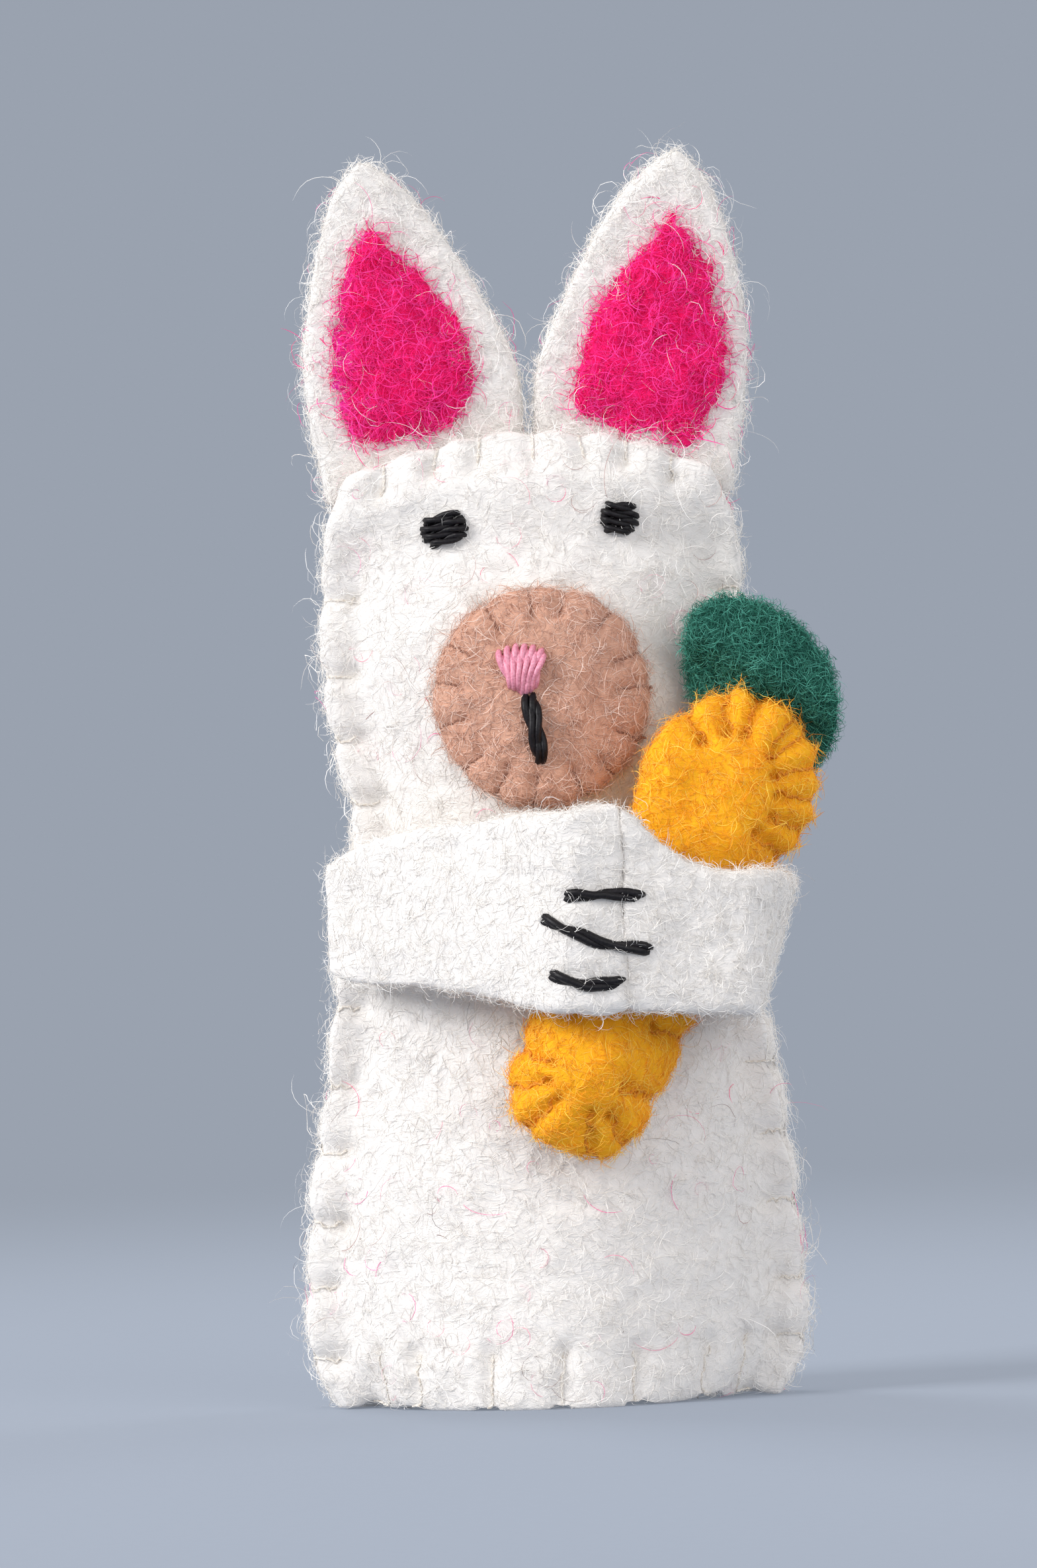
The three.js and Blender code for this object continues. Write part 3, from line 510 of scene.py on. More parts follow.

# %% [markdown]
# The two body panels. Each is one sheet of felt about 39 by 78 mm, cut to the rabbit's outline,
# sewn along both sides and the head, and left open at the hem for a finger. The skirt and the
# chest move on different bodies of the model. The uneven surface comes before the stitches,
# which then press it flat along the seams.

# %% Body panels
front = rough(front, front_quads, 0.34, 3)
back = rough(back, back_quads, 0.34, 7)
for panel in (front, back):
    draw_together(panel, 0.1, 1.1)
front, front_pressed = sew(front, front_quads, body_stitches, 0.5, 0.85, 0.25)
back, back_pressed = sew(back, back_quads, body_stitches, 0.5, 0.85, 0.25)
# The deeper a stitch pressed, the more painted shade the panel gets there.
front_panel = new_piece("front_panel", front, front_quads, white_felt, "white_felt",
                        {"dent_shade": np.clip(front_pressed - 0.5, 0, 1)})
back_panel = new_piece("back_panel", back, back_quads, white_felt, "white_felt",
                       {"dent_shade": np.clip(back_pressed - 0.5, 0, 1)})
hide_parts("front_panel_skirt", "front_panel_chest")
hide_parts("back_panel_skirt", "back_panel_chest")
front_tree = tree_of(front, front_quads)
print("deepest stitch, mm:", round(float(front_pressed.max()), 2))

# %% [markdown]
# Felt has no hinge: a panel is one sheet from the skirt to the chest, and an ear one sheet from
# the head to its tip. Each piece's transform is baked into its mesh here.


# %% Baking transforms into meshes
def on_body(piece):
    """Bakes the piece's transform into its mesh."""
    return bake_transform(piece)


def on_ear(piece):
    """Bakes the piece's transform into its mesh."""
    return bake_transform(piece)


on_body(front_panel)
on_body(back_panel)

# %% [markdown]
# The ears are two leaves of felt, tucked between the panels and caught by the head's stitches.
# Each is one sheet here, from its root to its tip, relaxed a little more than the body, as the
# scissors left a bevelled edge that handling has rounded.

# %% Ears
ears = {}
for side, name in ((-1, "left"), (1, "right")):
    points, quads = melt([f"{name}_ear_root", f"{name}_ear"], 0.34, 9, 0.5, EAR_LINE)
    points = rough(points, quads, 0.2, 11 + side)
    ear = new_piece(f"{name}_ear_leaf", points, quads, white_felt, "white_felt",
                    {"dent_shade": np.zeros(len(points))})
    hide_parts(f"{name}_ear_root", f"{name}_ear")
    on_ear(ear)
    ears[side] = (points, quads, tree_of(points, quads))
print("ears", {side: len(made[0]) for side, made in ears.items()})

# %% [markdown]
# The muzzle is a disc of tan felt, sewn round its rim with small whip stitches, each of which
# leaves a short slit and a dimple. It sits on the face's curve. Its stitches start at the top
# and go round in even steps, each moved a little, as a hand does it.

# %% Muzzle
MUZZLE_STITCHES = 15
muzzle_low, muzzle_high = box_of("muzzle")
MUZZLE_X, MUZZLE_Z = (muzzle_low[0] + muzzle_high[0]) / 2, (muzzle_low[2] + muzzle_high[2]) / 2
MUZZLE_RADIUS = (muzzle_high[0] - muzzle_low[0]) / 2
muzzle, muzzle_quads = melt(["muzzle"], 0.26, 4)
muzzle_bare = tree_of(muzzle, muzzle_quads)
muzzle_stitches = []
for i in range(MUZZLE_STITCHES):
    angle = math.pi / 2 + (i + 0.3 + rng.uniform(-0.15, 0.15)) / MUZZLE_STITCHES * 2 * math.pi
    stitch = []
    for radius in (MUZZLE_RADIUS - 2.0 + rng.uniform(-0.5, 0.4), MUZZLE_RADIUS - 0.5):
        x, z = MUZZLE_X + radius * math.cos(angle), MUZZLE_Z + radius * math.sin(angle)
        stitch.append(ray(muzzle_bare, (x, -40, z), (0, 1, 0)))
    rim = np.array([math.cos(angle), 0, math.sin(angle)])
    stitch += [stitch[-1] + 0.5 * rim + [0, 0.5, 0], stitch[-1] + 0.7 * rim + [0, 1.8, 0]]
    muzzle_stitches.append(stitch)
muzzle = rough(muzzle, muzzle_quads, 0.3, 23)
muzzle, muzzle_pressed = sew(muzzle, muzzle_quads, muzzle_stitches, 0.3, 0.5, 0.25)
muzzle_tree = tree_of(muzzle, muzzle_quads)
# The muzzle's stitch dimples get painted shade.
muzzle_disc = new_piece("muzzle_disc", muzzle, muzzle_quads, tan_felt, "tan_felt",
                        {"dent_shade": np.clip(1.2 * muzzle_pressed - 0.3, 0, 1)})
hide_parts("muzzle")
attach(muzzle_disc, "torso")
print("muzzle radius", round(MUZZLE_RADIUS, 1), "with", len(muzzle_stitches), "stitches")

# %% [markdown]
# Thread and floss are two plies twisted round each other, which is what gives them their small
# slanting beads. A path is smoothed and laid on the felt by finding the nearest place on it,
# then each ply winds round the path as a thin tube. The ends dive into the felt.


# %% Twisted thread
def flow(path, step):
    """Points a step apart on a smooth curve through a path's points."""
    path = np.asarray(path, float)
    padded = np.concatenate([2 * path[:1] - path[1:2], path, 2 * path[-1:] - path[-2:-1]])
    curve = []
    for a, b, c, d in zip(padded, padded[1:], padded[2:], padded[3:]):
        for t in np.linspace(0, 1, 12, endpoint=False):
            curve.append(0.5 * (2 * b + (c - a) * t + (2 * a - 5 * b + 4 * c - d) * t**2
                                + (3 * b - a - 3 * c + d) * t**3))
    return walk(np.array(curve + [path[-1]]), step)


def settle(path, tree, lift):
    """Lays the inner points of a path on a piece, lifted off it by so much."""
    laid = []
    for point in path:
        place, normal, _, _ = tree.find_nearest(Vector(point))
        laid.append(np.array(place + lift * normal))
    return np.array(laid)


def twisted(paths, thick, lay=None, step=0.12, sides=6):
    """Points and quads of two-ply threads of a thickness along smooth paths."""
    lay = lay or 5.0 * thick  # length of one full twist
    offset, radius = 0.2 * thick, 0.31 * thick  # how far a ply's middle is off the path, and its size
    points, quads = [], []
    for path in paths:
        line = walk(path, step)
        along = np.gradient(line, axis=0)
        along /= np.linalg.norm(along, axis=1, keepdims=True)
        helper = np.array([0.31, 0.2, 0.93]) if abs(along[0, 2]) < 0.9 else np.array([1.0, 0.1, 0])
        frames = []
        for way in along:
            helper = helper - way * (helper @ way)
            helper /= np.linalg.norm(helper)
            frames.append((helper, np.cross(way, helper)))
        first, second = (np.array([f[k] for f in frames]) for k in (0, 1))
        turn = np.arange(len(line)) * step / lay * 2 * math.pi
        order = np.arange(len(line))
        taper = np.minimum(1, 0.45 + np.minimum(order, order[::-1]) * step / thick)
        for ply in (0, 1):
            angle = turn + ply * math.pi
            middle = line + offset * (np.cos(angle)[:, None] * first + np.sin(angle)[:, None] * second)
            start = len(points)
            for k in range(len(line)):
                for side in range(sides):
                    around = side * 2 * math.pi / sides
                    points.append(middle[k] + radius * taper[k] * (
                        math.cos(around) * first[k] + math.sin(around) * second[k]))
            ring = np.arange(sides)
            for k in range(len(line) - 1):
                a, b = start + k * sides, start + (k + 1) * sides
                ahead = (ring + 1) % sides
                quads += np.stack([a + ring, a + ahead, b + ahead, b + ring], 1).tolist()
            for end, way in ((start, 1), (start + (len(line) - 1) * sides, -1)):
                for cap in ((0, 1, 2, 3), (0, 3, 4, 5)):  # two quads close each end
                    quads.append([end + k for k in cap][::-way])
    return np.array(points), np.array(quads)


def stitches_on(name, stitches, tree, thick, material, slot, nodes, lift=0.1, step=0.15):
    """Sewing thread along whip stitches, laid in the felt they press, in place of CAD nodes."""
    paths = []
    for stitch in stitches:
        path = settle(flow(stitch, 0.3), tree, lift * thick)
        path[0] += (path[0] - path[1]) * 0.2
        for end in (0, -1):
            normal = tree.find_nearest(Vector(path[end]))[1]
            path[end] -= 1.2 * thick * np.array(normal)
        paths.append(path)
    piece = new_piece(name, *twisted(paths, thick, step=step), material, slot)
    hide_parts(*nodes)
    return piece


muzzle_seam = stitches_on("muzzle_seam", muzzle_stitches, muzzle_tree, 0.32, tan_thread, "tan_thread",
                          ["muzzle_stitch"], lift=-0.2)
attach(muzzle_seam, "torso")
print("muzzle seam made")

# %% [markdown]
# The nose is a fan of satin stitches in rose floss, and a single doubled stitch in black makes
# the mouth. The eyes are a few black stitches side by side, drawn into the face so that the
# felt swells a little round them. Each stitch bows over the felt between its two holes.


# %% Face in floss
def satin(name, spans, tree, thick, material, slot, node, bow=0.25, dive=0.7):
    """Floss stitches on a piece. A span is its two ends, each an x and a z."""
    paths = []
    for (ax, az), (bx, bz) in spans:
        line = []
        for t in np.linspace(0, 1, 7):
            place = ray(tree, (ax + (bx - ax) * t, -60, az + (bz - az) * t), (0, 1, 0))
            line.append(place - [0, 0.3 * thick + bow * math.sin(math.pi * t), 0])
        line[0], line[-1] = line[0] + [0, dive * thick, 0], line[-1] + [0, dive * thick, 0]
        paths.append(flow(line, 0.1))
    piece = new_piece(name, *twisted(paths, thick), material, slot)
    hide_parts(node)
    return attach(piece, "torso")


def middle_of(node):
    """The x and z of a CAD node's middle."""
    low, high = box_of(node)
    return (low[0] + high[0]) / 2, (low[2] + high[2]) / 2


nose_low, nose_high = box_of("nose_floss")
nose_x, nose_top, nose_foot = (nose_low[0] + nose_high[0]) / 2, nose_high[2] - 0.2, nose_low[2] + 0.1
fan = [((nose_x + s * 1.75, nose_top - 0.5 * s * s), (nose_x + s * 0.75 + 0.1, nose_foot + 0.5 * s * s))
       for s in np.linspace(-1, 1, 6)]
satin("nose_stitches", fan, muzzle_tree, 0.85, rose_floss, "rose_floss", "nose_floss", bow=0.35)
mouth_low, mouth_high = box_of("mouth_floss")
mouth_from = (mouth_low[0] + 0.62, mouth_high[2] + 0.7)
mouth_to = (mouth_high[0] - 0.45, mouth_low[2] - 0.2)
doubled = [((mouth_from[0] + d, mouth_from[1]), (mouth_to[0] + 0.6 * d, mouth_to[1])) for d in (-0.3, 0.3)]
satin("mouth_stitch", doubled, muzzle_tree, 1.0, black_floss, "black_floss", "mouth_floss", bow=0.6)


def eye_spans(x, z, length, rows, gap, tilt):
    """Stitches side by side that fill a small oval."""
    spans = []
    for k in range(rows):
        off = (k - (rows - 1) / 2) * gap
        half = length / 2 * math.sqrt(max(0.1, 1 - (off / (rows * gap * 0.56)) ** 2))
        ends = [(x + way * half * math.cos(tilt) - off * math.sin(tilt),
                 z + way * half * math.sin(tilt) + off * math.cos(tilt)) for way in (-1, 1)]
        spans.append(ends)
    return spans


left_x, left_z = middle_of("left_eye_floss")
right_x, right_z = middle_of("right_eye_floss")
satin("left_eye", eye_spans(left_x, left_z, 3.9, 4, 0.6, 0.25), front_tree, 0.82, black_floss, "black_floss",
      "left_eye_floss", bow=0.3)
satin("right_eye", eye_spans(right_x, right_z, 3.0, 4, 0.6, -0.1), front_tree, 0.82, black_floss, "black_floss",
      "right_eye_floss", bow=0.3)
print("nose strands", len(fan))

# %% [markdown]
# The arms are two straps of felt, sewn on beside the side seams, that reach round the carrot
# and meet in the middle of the chest. Their cut edges stay plain, so they keep their full felt
# thickness, and three black stitches across the meeting hands read as fingers. Each strap is
# its CAD solid melted and relaxed for long, since no stitch holds its edges sharp.

# %% Arms
HANDS_X = box_of("left_arm")[1][0] + 0.15
arms = {}
for name, seed in (("left", 31), ("right", 37)):
    points, quads = melt([f"{name}_arm"], 0.34, 11)
    end = np.abs(points[:, 0] - (points[:, 0].min() if name == "left" else points[:, 0].max()))
    middle = points[end < 3, 2].mean()
    corner = np.clip(1 - end / 3.4, 0, 1) ** 2
    points[:, 2] -= 0.16 * corner * (points[:, 2] - middle)
    drop = np.clip((points[:, 2].max() - points[:, 2]) / np.ptp(points[:, 2]), 0, 1)
    if name == "right":  # its cut end slants inwards to its lower corner
        far = points[:, 0].max()
        points[:, 0] -= (0.7 + 5.2 * drop) * smoothstep(points[:, 0], far - 7, far)
    else:
        far = -points[:, 0].min()
        points[:, 0] += 1.4 * smoothstep(-points[:, 0], far - 7, far)
    points = rough(points, quads, 0.4, seed)
    # The hands press against each other, so their rounded ends close the slot between them.
    near = np.exp(-((points[:, 0] - HANDS_X) / 1.1) ** 2)
    points[:, 0] += near * np.where(points[:, 0] < HANDS_X, 0.34, -0.34)
    arms[name] = (points, quads)
HAND_STITCHES = ("upper_hand_stitch", "middle_hand_stitch", "lower_hand_stitch")
hand_paths = []
for node in HAND_STITCHES:
    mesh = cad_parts[node].data
    place = np.array([v.co for v in mesh.vertices]) / MM - MIDDLE
    order = np.argsort(place[:, 0])
    line = np.array([place[part].mean(0) for part in np.array_split(order, 9)])
    low, high = box_of(node)
    line[0, 0], line[-1, 0] = low[0], high[0]
    hand_paths.append(line)
for name, (points, quads) in arms.items():
    points, pressed = sew(points, quads, hand_paths, 0.45, 0.8)
    arms[name] = (points, quads)
    # The hand stitches' grooves get painted shade.
    piece = new_piece(f"{name}_arm_strap", points, quads, white_felt, "white_felt",
                      {"dent_shade": np.clip(0.6 * pressed - 0.2, 0, 1)})
    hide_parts(f"{name}_arm")
    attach(piece, "torso")
left_size, right_size = (box_of(f"{n}_arm")[1] - box_of(f"{n}_arm")[0] for n in ("left", "right"))
print("arms, mm:", left_size.round(1), right_size.round(1))

# %% [markdown]
# The carrot is two layers of orange felt, sewn round the rim and stuffed with loose wool. A
# cloth simulation under pressure is the way to fill it: the seam holds where the stitches are,
# and the felt swells between them. Its two CAD layers and the stuffing melt into one skin, of
# which only the outermost shell is kept. The simulation runs on a bench copy at about one
# metre long, since cloth settings are made for that size, and how far a point moves is capped.

# %% Carrot skin
TILT = math.radians(28)
ACROSS = np.array([math.cos(TILT), 0, -math.sin(TILT)])
ALONG = np.array([math.sin(TILT), 0, math.cos(TILT)])
FOOT = np.array([0, 0, FOLD + 2.35])  # the middle of the carrot's tip
BENCH = 0.03  # bench metres for a millimetre


def in_carrot(points):
    """How far points are across the carrot and along it from its tip."""
    return (points - FOOT) @ ACROSS, (points - FOOT) @ ALONG


def outer_shell(points, quads):
    """Only the largest closed shell of a mesh, which is its outside."""
    label = np.arange(len(points))
    ends = np.concatenate([quads[:, [k, (k + 1) % 4]] for k in range(4)])
    while True:
        least = label.copy()
        np.minimum.at(least, ends[:, 0], label[ends[:, 1]])
        np.minimum.at(least, ends[:, 1], least[ends[:, 0]])
        least = least[least]
        if (least == label).all():
            break
        label = least
    kept = label == np.bincount(label).argmax()
    index = np.cumsum(kept) - 1
    return points[kept], index[quads[kept[quads[:, 0]]]]


carrot, carrot_quads = melt(["carrot_back_felt", "carrot_front_felt", "carrot_stuffing"], 0.62, 0)
carrot, carrot_quads = outer_shell(carrot, carrot_quads)
carrot = relax(carrot, carrot_quads, 2)
carrot -= 0.2 * normals_of(carrot, carrot_quads)
CARROT_LENGTH = in_carrot(carrot)[1].max()
print("carrot skin", len(carrot), "points,", round(CARROT_LENGTH, 1), "mm long")

# %% [markdown]
# Its whip stitches go round the crown, down both sides and round the tip, about 3 mm apart.
# The rim is found from the skin itself: the furthest point outwards from the middle of the
# bulb, of the waist, or of the tip.


# %% Carrot stitches
def rim_stitch(points, tree, middle, angle, bite):
    """A whip stitch over the carrot's rim, outwards at an angle from a place on its middle."""
    across, along = in_carrot(points)
    out = np.array([math.sin(angle), math.cos(angle)])
    offset = np.stack([across, along - middle], 1)
    beside = np.abs(offset @ np.array([out[1], -out[0]])) < 0.7
    reach = np.where(beside, offset @ out, -99)
    rim = points[np.argsort(reach)[-4:]].mean(0)
    way = out[0] * ACROSS + out[1] * ALONG
    hole = rim - bite * way
    front, rear = (ray(tree, (hole[0], y, hole[2]), (0, s, 0)) for y, s in ((-60, 1), (20, -1)))
    inner = rim - 0.5 * way
    front_edge, rear_edge = (ray(tree, (inner[0], y, inner[2]), (0, s, 0)) for y, s in ((-60, 1), (20, -1)))
    return [front, front_edge, rim + 0.2 * way, rear_edge, rear]


carrot_bare = tree_of(carrot, carrot_quads)
carrot_stitches = []
for angle in np.radians([-52, -29, -8, 12, 31, 50, 70, 91, 113]):
    angle += rng.uniform(-0.06, 0.06)
    bite = 3.0 + rng.uniform(-0.5, 0.4)
    carrot_stitches.append(rim_stitch(carrot, carrot_bare, CARROT_LENGTH - 7.6, angle, bite))
for along, angle in ((10.8, -90), (12.4, 90), (17.0, -90), (16.6, 90), (22.6, -90), (21.8, 90)):
    carrot_stitches.append(rim_stitch(carrot, carrot_bare, along, math.radians(angle), 2.4))
for angle in np.radians([-88, -128, -163, 158, 120, 86]):
    angle += rng.uniform(-0.1, 0.1)
    carrot_stitches.append(rim_stitch(carrot, carrot_bare, 6.2, angle, rng.uniform(2.2, 3.6)))
print("carrot stitches", len(carrot_stitches))

# %% [markdown]
# Wool pushed into the carrot presses its skin outwards everywhere but at the stitches. Cloth
# with a steady inner pressure and no gravity does the same in twenty frames. The arms, the
# muzzle and the chest are in the way, so each point may move only as far as its room allows,
# and a point at a stitch is pinned in place. The result is kept as a plain mesh.


# %% Fill the carrot
def fill(points, quads, held, room, frames=20):
    """Swells a closed skin under pressure. held is how firmly each point stays, room how far it goes."""
    bench = bpy.data.meshes.new("bench")
    bench.from_pydata((points * BENCH).tolist(), [], quads.tolist())
    skin = bpy.data.objects.new("bench", bench)
    bpy.context.scene.collection.objects.link(skin)
    seam = skin.vertex_groups.new(name="seam")
    for share in np.unique(held.round(2)):
        members = np.flatnonzero(held.round(2) == share).tolist()
        if share > 0:
            seam.add(members, float(share), "REPLACE")
    cloth = skin.modifiers.new("cloth", "CLOTH")
    cloth.settings.vertex_group_mass = "seam"
    cloth.settings.use_pressure = True
    cloth.settings.uniform_pressure_force = 4
    cloth.settings.effector_weights.gravity = 0
    cloth.point_cache.frame_start, cloth.point_cache.frame_end = 1, frames
    for step in range(1, frames + 1):
        bpy.context.scene.frame_set(step)
    evaluated = skin.evaluated_get(bpy.context.evaluated_depsgraph_get())
    swollen, _ = arrays_of(evaluated.to_mesh())
    evaluated.to_mesh_clear()
    bpy.data.objects.remove(skin)
    bpy.data.meshes.remove(bench)
    bpy.context.scene.frame_set(1)
    moved = swollen / BENCH - points
    far = np.linalg.norm(moved, axis=1)
    return points + moved * np.minimum(1, room / np.maximum(far, 1e-9))[:, None]


def clearance(points, trees):
    """The distance from each point to the nearest of some pieces, up to 3 mm."""
    nearest = np.full(len(points), 3.0)
    for tree in trees:
        for i, point in enumerate(points):
            found = tree.find_nearest(Vector(point), 3.0)[3]
            if found is not None:
                nearest[i] = min(nearest[i], found)
    return nearest


neighbours = [front_tree, muzzle_tree] + [tree_of(*arms[name]) for name in ("left", "right")]
held = np.zeros(len(carrot))
for stitch in carrot_stitches:
    held = np.maximum(held, np.exp(-((distance_to(carrot, walk(stitch, 0.4)) / 0.8) ** 2)))
held[held < 0.05] = 0
room = np.clip(clearance(carrot, neighbours) - 0.35, 0.04, 1.1)
carrot = relax(fill(carrot, carrot_quads, held, room), carrot_quads, 1)
print("carrot filled; it swelled into", round(float(room.mean()), 2), "mm of room on average")

# %% [markdown]
# The swollen skin is still coarse. One Catmull-Clark subdivision makes it fine enough for the
# uneven surface of the felt and for grooves less than a millimetre wide, and then the same
# stitches that held the skin are pressed in and get their orange thread.


# %% Smooth and sew the carrot
def subdivide(points, quads):
    """Catmull-Clark subdivision of a mesh."""
    bench = bpy.data.meshes.new("bench")
    bench.from_pydata(points.tolist(), [], quads.tolist())
    skin = bpy.data.objects.new("bench", bench)
    bpy.context.scene.collection.objects.link(skin)
    skin.modifiers.new("smooth", "SUBSURF").levels = 1
    evaluated = skin.evaluated_get(bpy.context.evaluated_depsgraph_get())
    finer = arrays_of(evaluated.to_mesh())
    evaluated.to_mesh_clear()
    bpy.data.objects.remove(skin)
    bpy.data.meshes.remove(bench)
    return finer


carrot, carrot_quads = subdivide(carrot, carrot_quads)
carrot = rough(carrot, carrot_quads, 0.3, 41)
carrot, carrot_pressed = sew(carrot, carrot_quads, carrot_stitches, 0.6, 0.7, 0.35)
carrot_tree = tree_of(carrot, carrot_quads)
# The carrot's stitch grooves get painted shade.
carrot_body = new_piece("carrot_body", carrot, carrot_quads, orange_felt, "orange_felt",
                        {"dent_shade": np.clip(1.1 * carrot_pressed - 0.35, 0, 1)})
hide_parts("carrot_back_felt", "carrot_front_felt", "carrot_stuffing")
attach(carrot_body, "torso")
carrot_seam = stitches_on("carrot_seam", carrot_stitches, carrot_tree, 0.34, orange_thread, "orange_thread",
                          ["carrot_stitch"], lift=-0.1)
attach(carrot_seam, "torso")
print("carrot", len(carrot), "points")

# %% [markdown]
# Two soft shapes aren't cut to an even thickness: the brushed green leaf behind the carrot's
# crown, and the pink wool needled onto each ear, which is a low mound that thins to nothing at
# its edge. Both are rings of points drawn in from an outline to its middle, with a front and a
# back that meet at the rim.


# %% Mounds inside an outline
def closed_outline(stations, sectors):
    """A smooth closed curve through stations, as sectors points."""
    stations = np.array([(x, 0, z) for x, z in stations])
    curve = flow(np.concatenate([stations, stations[:1]]), 0.05)
    places = np.linspace(0, len(curve) - 1, sectors, endpoint=False).astype(int)
    return curve[places][:, [0, 2]]


def mound(outline, middle, rings, surface, front_lift, back_lift):
    """Points and quads of a mound: surface gives its middle depth at x and z, and the lifts its
    two heights by the share from the middle to the rim."""
    shares = np.linspace(0.004, 1, rings) ** 0.8
    points, index = [], []
    for lift, way in ((front_lift, -1), (back_lift, 1)):
        rows = []
        for k, share in enumerate(shares):
            if way > 0 and k == rings - 1:
                rows.append(index[0][-1])
                continue
            place = middle + share * (outline - middle)
            depth = surface(place[:, 0], place[:, 1]) + way * lift(share)
            rows.append(np.arange(len(outline)) + sum(len(p) for p in points))
            points.append(np.stack([place[:, 0], depth, place[:, 1]], 1))
        index.append(rows)
    quads = []
    for side, rows in enumerate(index):
        for inner, outer in zip(rows, rows[1:]):
            ring = [inner, np.roll(inner, -1), np.roll(outer, -1), outer]
            quads.append(np.stack(ring if side == 0 else ring[::-1], 1))
    return np.concatenate(points), np.concatenate(quads)


print("mounds have a front and a back that share their rim")

# %% [markdown]
# The carrot's top is a brushed oval of green felt, sewn in behind the crown. It stands free at
# its upper edge, so it is a thin mound that keeps its thickness almost to the rim, gently
# waved, with its foot set back behind the carrot. It bends where it leaves the crown.


# %% Leaf
leaf_low, leaf_high = box_of("carrot_leaf")
LEAF_DEPTH = (leaf_low[1] + leaf_high[1]) / 2
leaf_outline = closed_outline([(-7.2, 38.2), (-8.2, 41.6), (-6.2, 44.7), (-1.6, 45.2), (2.6, 43.4), (5.3, 40.2),
                               (5.8, 36.8), (4.6, 34.6), (0.2, 34.2), (-4.4, 35.0)], 150)


def leaf_depth(across, along):
    """The leaf stands free above the crown, and its foot is tucked in behind the carrot."""
    foot = LEAF_DEPTH + 2.3
    return foot + (LEAF_DEPTH - foot) * smoothstep(along, 37.6, 41.0) + 0.25 * np.sin(0.7 * across)


def leaf_half(share):
    """Half the leaf's thickness, which falls away only close to its rim."""
    return 0.95 * (1 - share**7) ** 0.5


leaf, leaf_quads = mound(leaf_outline, np.array([-1.4, 39.5]), 40, leaf_depth, leaf_half, leaf_half)
leaf = FOOT + leaf[:, :1] * ACROSS + leaf[:, 1:2] * [0, 1, 0] + leaf[:, 2:] * ALONG
leaf = rough(leaf, leaf_quads, 0.5, 53)
leaf_felt = new_piece("leaf_felt", leaf, leaf_quads, green_felt, "green_felt", {"dent_shade": np.zeros(len(leaf))})
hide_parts("carrot_leaf")


def on_leaf(piece):
    """Bakes the piece's transform into its mesh."""
    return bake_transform(piece)


on_leaf(leaf_felt)
print("leaf", len(leaf), "points")

# %% [markdown]
# The pink of the ears isn't felt at all: loose dyed wool is laid on the ear and stabbed in with
# a barbed needle, so it is a mound of tangled strands, painted lighter on the raised strands and
# with painted shade where they lie low.
# Its dye runs from magenta at the outside to crimson.


# %% Pink wool in the ears
def roving_material(name):
    """Needled loose wool: tangled strands from bent noise, painted lighter where raised and shaded where low,
    magenta to crimson across the ear.
    """
    material, tree, place = new_material(name)
    height = fibre_height(tree, place, width=0.16, length=2.6, bend=2.6)
    level = add(tree, "MapRange", {"Value": height, "From Min": 0.42, "From Max": 0.76})
    # Low strands get the darker crimson and raised ones the lighter pink: painted shade and painted light.
    ramp = add(tree, "ValToRGB", {"Fac": level.outputs[0]})
    ramp.color_ramp.elements[0].color, ramp.color_ramp.elements[1].color = linear("ff0468"), linear("ff2c94")
    bright = add(tree, "Attribute", attribute_name="magenta")
    mixed = add(tree, "Mix", {"Factor": bright.outputs["Fac"]}, data_type="RGBA")
    tree.links.new(ramp.outputs[0], mixed.inputs[6])
    mixed.inputs[7].default_value = linear("ff48dc")
    relief = add(tree, "Bump", {"Height": height, "Strength": 1.0, "Distance": 0.22 * MM})
    finish_material(tree, add(tree, "BsdfPrincipled", {
        "Base Color": mixed.outputs[2], "Roughness": 0.85, "IOR": 1.54, "Specular IOR Level": 0.25,
        "Sheen Weight": 0.15, "Sheen Roughness": 0.4, "Sheen Tint": linear("ff5a9c"),
        "Normal": relief.outputs[0]}))
    return material


pink_roving = roving_material("needled_pink_wool")
PINK_OUTLINES = {  # in mm: a leaf a little lopsided, as wool is laid by hand
    -1: [(-13.3, 75.6), (-14.9, 78.4), (-15.6, 82.4), (-15.0, 86.4), (-13.6, 90.6), (-12.2, 93.0),
         (-10.2, 91.2), (-7.6, 88.8), (-5.2, 85.6), (-3.9, 81.8), (-4.7, 78.8), (-6.6, 76.6), (-10.0, 76.0)],
    1: [(12.9, 75.0), (15.0, 78.2), (15.8, 82.0), (15.6, 86.6), (14.6, 90.2), (12.6, 93.8),
        (10.2, 91.4), (7.4, 88.4), (5.4, 84.8), (3.9, 80.4), (4.0, 78.2), (6.6, 76.6), (9.8, 76.0)],
}
pinks = {}
for side, name in ((-1, "left"), (1, "right")):
    stations = PINK_OUTLINES[side][:: -side]
    outline = closed_outline(stations, 170)
    outline += 0.28 * np.stack([lumps(np.c_[outline, outline[:, :1]], 1.3, s) for s in (61, 62)], 1)
    ear_tree = ears[side][2]
    face = np.array([ray(ear_tree, (x, -30, z), (0, 1, 0)) is not None for x, z in outline])
    depth = float(np.median([ray(ear_tree, (x, -30, z), (0, 1, 0))[1] for x, z in outline[face]]))
    points, quads = mound(outline, np.array([side * 9.9, 82.0]), 46, lambda x, z: np.full(len(x), depth + 0.12),
                          lambda share: 1.0 * (1 - share**2.6) ** 0.75, lambda share: 0.05)
    tufts = 0.22 * lumps(points, 1.6, 66) + 0.12 * lumps(points, 0.7, 67)
    points = points - np.array([0, 1, 0]) * tufts[:, None]
    magenta = np.clip((-14.2 - points[:, 0]) / 2.4 + 0.5 + 0.3 * lumps(points, 2, 68), 0, 1) * (side < 0) * 0.8
    wool = new_piece(f"{name}_ear_wool", points, quads, pink_roving, "pink_wool", {"magenta": magenta})
    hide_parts(f"{name}_ear_inner")
    on_ear(wool)
    pinks[side] = (points, quads)
print("pink wool", {side: len(made[0]) for side, made in pinks.items()})
